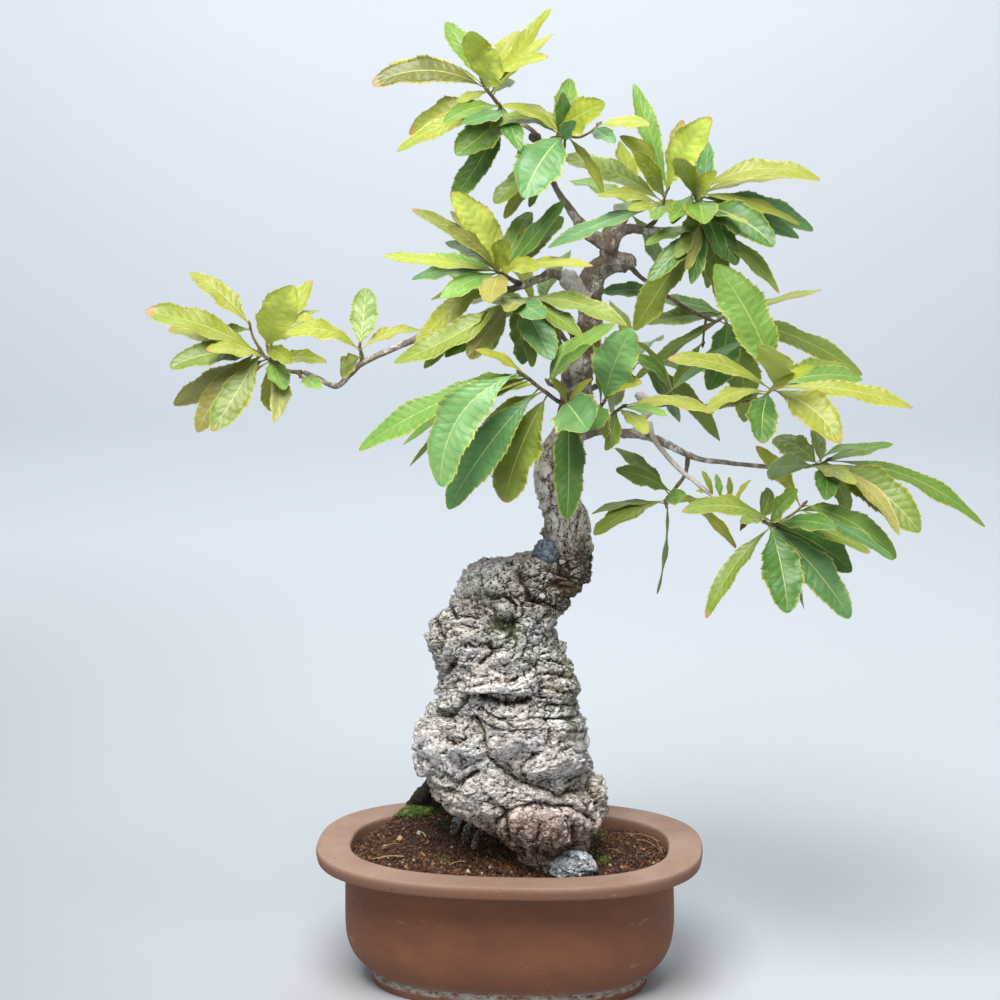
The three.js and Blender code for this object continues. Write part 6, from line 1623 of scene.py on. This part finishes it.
def leafGrid(base, tip, width, turn, bow, sway, lot):
    # a blade over u along it and v across: its rib is a line bent by 4 u (1 - u), its face is folded up
    # from the rib by |v|, drooping by v^2, waved at the borders and quilted between its side veins
    look = leafLook
    length = float(np.linalg.norm(tip - base))
    out, across = leafAxes(base, tip, turn)
    if np.dot(np.cross(unit(tip - base), out), across) < 0:
        across, sway = -across, -sway
    u, q, half, teeth = leafOutline(length, width, lot)
    thick = look["thickness"] / 2 + (look["stalkRadius"] * 0.8 - look["thickness"] / 2) * np.exp(-u / 0.05)
    thick = thick + 0.35 * (1 - u) * (q > 0) * 0.5
    v = look["across"]
    far = np.abs(v)
    rib = base + (tip - base) * u[:, None] + 4 * (u * (1 - u))[:, None] * length * (bow * out + sway * across)
    twist = math.radians(look["twist"]) * (lot[1] - 0.5) * np.sin(np.pi * u)
    side = across * np.cos(twist)[:, None] + out * np.sin(twist)[:, None]
    face = out * np.cos(twist)[:, None] - across * np.sin(twist)[:, None]
    wave = np.sin(2 * np.pi * (look["waves"] * u[:, None] + lot[2]) + np.pi * (v > 0))
    wave = look["margins"] * wave * far ** 1.6
    fold = look["foldRise"] * (1 + lot[0]) * far - look["droop"] * (0.4 + lot[1]) * v ** 2
    vein = np.abs(((q[:, None] * teeth - look["veinLean"] * far + 0.5) % 1) - 0.5) * 2
    quilt = look["quilt"] * (vein - 0.5) * (far > 0.05) * (far < 0.95) * np.clip(half[:, None] / 6, 0, 1)
    lift = half[:, None] * (fold + wave) + quilt
    border = np.sin(2 * np.pi * (look["borderWaves"] * q[:, None] + lot[4]) + 2.1 * (v > 0)) * far ** 3
    reach = half[:, None] * v * (1 + look["wander"] * border * np.sin(np.pi * q)[:, None])
    middle = rib[:, None] + side[:, None] * reach[..., None] + face[:, None] * lift[..., None]
    edge = np.where(far > 0.95, look["rimThinner"], 1.0) * np.where(far < 0.05, look["ribThicker"], 1.0)
    shift = face[:, None] * (thick[:, None] * edge)[..., None]
    uv = np.stack(np.broadcast_arrays(u[:, None], 0.5 + 0.5 * v), -1)
    return middle + shift, middle - shift, uv, teeth


def addLeaf(bundle, base, tip, row, lot):
    # both faces of the blade and the strips that close its borders, stalk end and tip
    *_, width, turn, bow, sway, tone = row
    upper, lower, uv, teeth = leafGrid(base, tip, width, turn, bow, sway, lot)
    rows, columns = upper.shape[:2]
    size = rows * columns
    top = gridFaces(rows, columns, False)
    bottom = gridFaces(rows, columns, False, size)[:, ::-1]
    i = np.arange(rows - 1) * columns
    left = np.stack([i, i + size, i + size + columns, i + columns], -1)
    right = np.stack([i, i + columns, i + size + columns, i + size], -1) + columns - 1
    j = np.arange(columns - 1)
    start = np.stack([j, j + 1, j + 1 + size, j + size], -1)
    end = np.stack([j, j + size, j + 1 + size, j + 1], -1) + (rows - 1) * columns
    quads = np.vstack([top, bottom, left, right, start, end])
    points = np.vstack([upper.reshape(-1, 3), lower.reshape(-1, 3)])
    colour, dryness = tones[tone]
    green = np.array(paint(*colour)[:3]) * (0.86 + 0.28 * lot[3]) * np.array([0.94 + 0.12 * lot[4], 1.0, 1.0])
    bundle.add(points, quads, None, np.vstack([uv.reshape(-1, 2)] * 2), green,
               under=np.repeat([0.0, 1.0], size), veins=float(teeth),
               dry=min(1.0, dryness * (0.3 + 1.3 * lot[5])))


def leafBase(path, number, back):
    # where a leaf leaves its twig: walked back from the end along the path, and never off it
    steps = np.linalg.norm(np.diff(path, axis=0), axis=1)
    if back is None:
        back = min(leafLook["step"] * ((number % leafLook["stepsBack"]) + 0.4), 0.8 * steps.sum())
    run = np.concatenate([[0], np.cumsum(steps)])
    return np.array([np.interp(run[-1] - back, run, column) for column in path.T])


def buildSprays(leafFinish, twigFinish):
    # each spray's leaves as one piece, and all twigs and buds as another; a leaf may spring from the
    # limb behind the spray's first twig, and only from its own twig on the others
    slots = {name: slot for slot, names in leafSlots.items() for name in names}
    shoots = Bundle()
    for order, (name, (limbName, twigs)) in enumerate(sprays.items()):
        leaves = Bundle()
        limb = placed(limbs[limbName])
        for t, (path, rows) in enumerate(twigs):
            points = placed(path)
            carried = points[:, :3]
            if t == 0:
                carried = np.vstack([limb[:, :3], carried])
                points = np.vstack([limb[-1], points])
            barkTube(shoots, points, limbLook["steps"]["shoot"], False, 400 + 11 * order + t)
            far = furtherBack.get(name, {}) if t == 0 else {}
            for number, row in enumerate(rows):
                tip = place([row[0], row[1], path[-1][2] + row[2]])[0]
                addLeaf(leaves, leafBase(carried, number, far.get(number)), tip, row, rng.random(6))
            budScales(shoots, points)
        seat(leaves.build(name + "_leaves"), slots[name], leafFinish, name)
    seat(shoots.build("shoots"), "bark", twigFinish)


def budScales(bundle, points):
    # a pointed bud at a twig's end, sin(pi (0.16 + 0.84 t))^0.8 thick, with three smaller round it
    end, way = points[-1, :3], unit(points[-1, :3] - points[-2, :3])
    t = np.linspace(0, 1, 9)
    for number in range(1 + bud["sideCount"]):
        length, radius = bud["side" if number else "main"]
        spread = bud["spread"] if number else 0.0
        lean = unit(way + spread * rng.normal(size=3))
        foot = end - way * (bud["sink"] + bud["sinkStep"] * number)
        radii = radius * np.sin(np.pi * (0.16 + 0.84 * t)) ** 0.8 + 0.05
        grid, _ = tubeGrid(foot + lean * (t * length)[:, None], radii, 8)
        bundle.add(*capped(grid), hollow=0.2, warm=0.5, lichen=0.0, young=1.0)


# Studio

# left is the floor's painted shade, towards its front left corner
studio = {
    "front": [0.36, 0.39, 0.42, 1], "floor": [0.55, 0.585, 0.62, 1], "wall": [0.83, 0.86, 0.9, 1],
    "left": [0.3, 0.32, 0.345, 1], "sky": [0.92, 0.96, 1.0, 1], "skyStrength": 0.45,
    "lights": [("over", (-0.3, -1.2, 2.45), (0.0, 0.0, 0.4), 1.6, 98, (1, 0.985, 0.96)),
               ("wash", (0.0, 2.4, 3.6), (0.0, 4.3, 0.2), 3.0, 100, (0.94, 0.97, 1))],
    "bend": 1.6, "wallAt": 5.2, "reach": 6.0, "sensor": 36, "near": 0.05, "far": 30,
}


def buildStudio():
    # a pale sheet, which is a flat floor, a quarter turn and a wall, two lamps, the sky and the camera
    scene = bpy.context.scene
    radius, wallAt, reach = studio["bend"], studio["wallAt"], studio["reach"]
    turn = np.linspace(0, math.pi / 2, 24)
    bend = np.column_stack([wallAt - radius + radius * np.sin(turn), radius - radius * np.cos(turn)])
    profile = np.vstack([[-reach, 0.0], [0.0, 0.0], bend, [wallAt, reach]]) / mm
    points = np.array([(x / mm, y, z) for y, z in profile for x in (-reach, 0.0, reach)])
    sheet = addMesh("backdrop", points, gridFaces(len(profile), 3, False)[:, ::-1])
    paper = Finish("paper", 0.95)
    across, depth, height = paper.split(paper.spot)
    ground = paper.mix(paper.range(depth, -0.6, 0.5), studio["front"], studio["floor"])
    # painted shade: the floor darker towards the left and the front
    left, near = paper.range(across, -0.8, 0.1, 1.0, 0.0), paper.range(depth, 0.0, 2.2, 1.0, 0.0)
    ground = paper.mix(paper.times(left, near), ground, studio["left"])
    ground = paper.mix(paper.range(height, 0.0, 1.6), ground, studio["wall"])
    sheet.data.materials.append(paper.done(ground))
    for name, spot, aim, size, power, colour in studio["lights"]:
        lamp = bpy.data.lights.new(name, "AREA")
        lamp.shape, lamp.size, lamp.energy, lamp.color = "DISK", size, power, colour
        holder = bpy.data.objects.new(name, lamp)
        holder.location = spot
        holder.rotation_euler = (Vector(aim) - Vector(spot)).to_track_quat("-Z", "Y").to_euler()
        scene.collection.objects.link(holder)
    scene.world = bpy.data.worlds.new("studio")
    scene.world.use_nodes = True
    sky = scene.world.node_tree.nodes["Background"].inputs
    sky["Color"].default_value = studio["sky"]
    sky["Strength"].default_value = studio["skyStrength"]
    scene.view_settings.view_transform = "Standard"
    camera = bpy.data.objects.new("camera", bpy.data.cameras.new("camera"))
    camera.data.lens, camera.data.sensor_width = sight["lens"], studio["sensor"]
    camera.data.clip_start, camera.data.clip_end = studio["near"], studio["far"]
    camera.location = eye * mm
    camera.rotation_euler = (math.pi / 2 - sight["pitch"], 0, 0)
    scene.collection.objects.link(camera)
    scene.camera = camera


buildStudio()
buildPot()
soilFinish = grainFinish()
buildSoil(soilFinish)
scatterGrains(soilFinish)
scatterStones(soilFinish)
growMoss()
layStraw()
cork, neck, twig = corkBark(), neckBark(), twigBark()
buildTrunk(cork, neck)
buildRoots(cork)
buildPaste()
buildBranches(neck, twig, paleWood())
buildSprays(leafBlade(), twig)
meshFinish = plainPlastic()
for nodeName in ("drain_mesh_1", "drain_mesh_2"):
    for nodeSlot in bpy.data.objects[nodeName].material_slots:
        nodeSlot.link = "OBJECT"
        nodeSlot.material = meshFinish
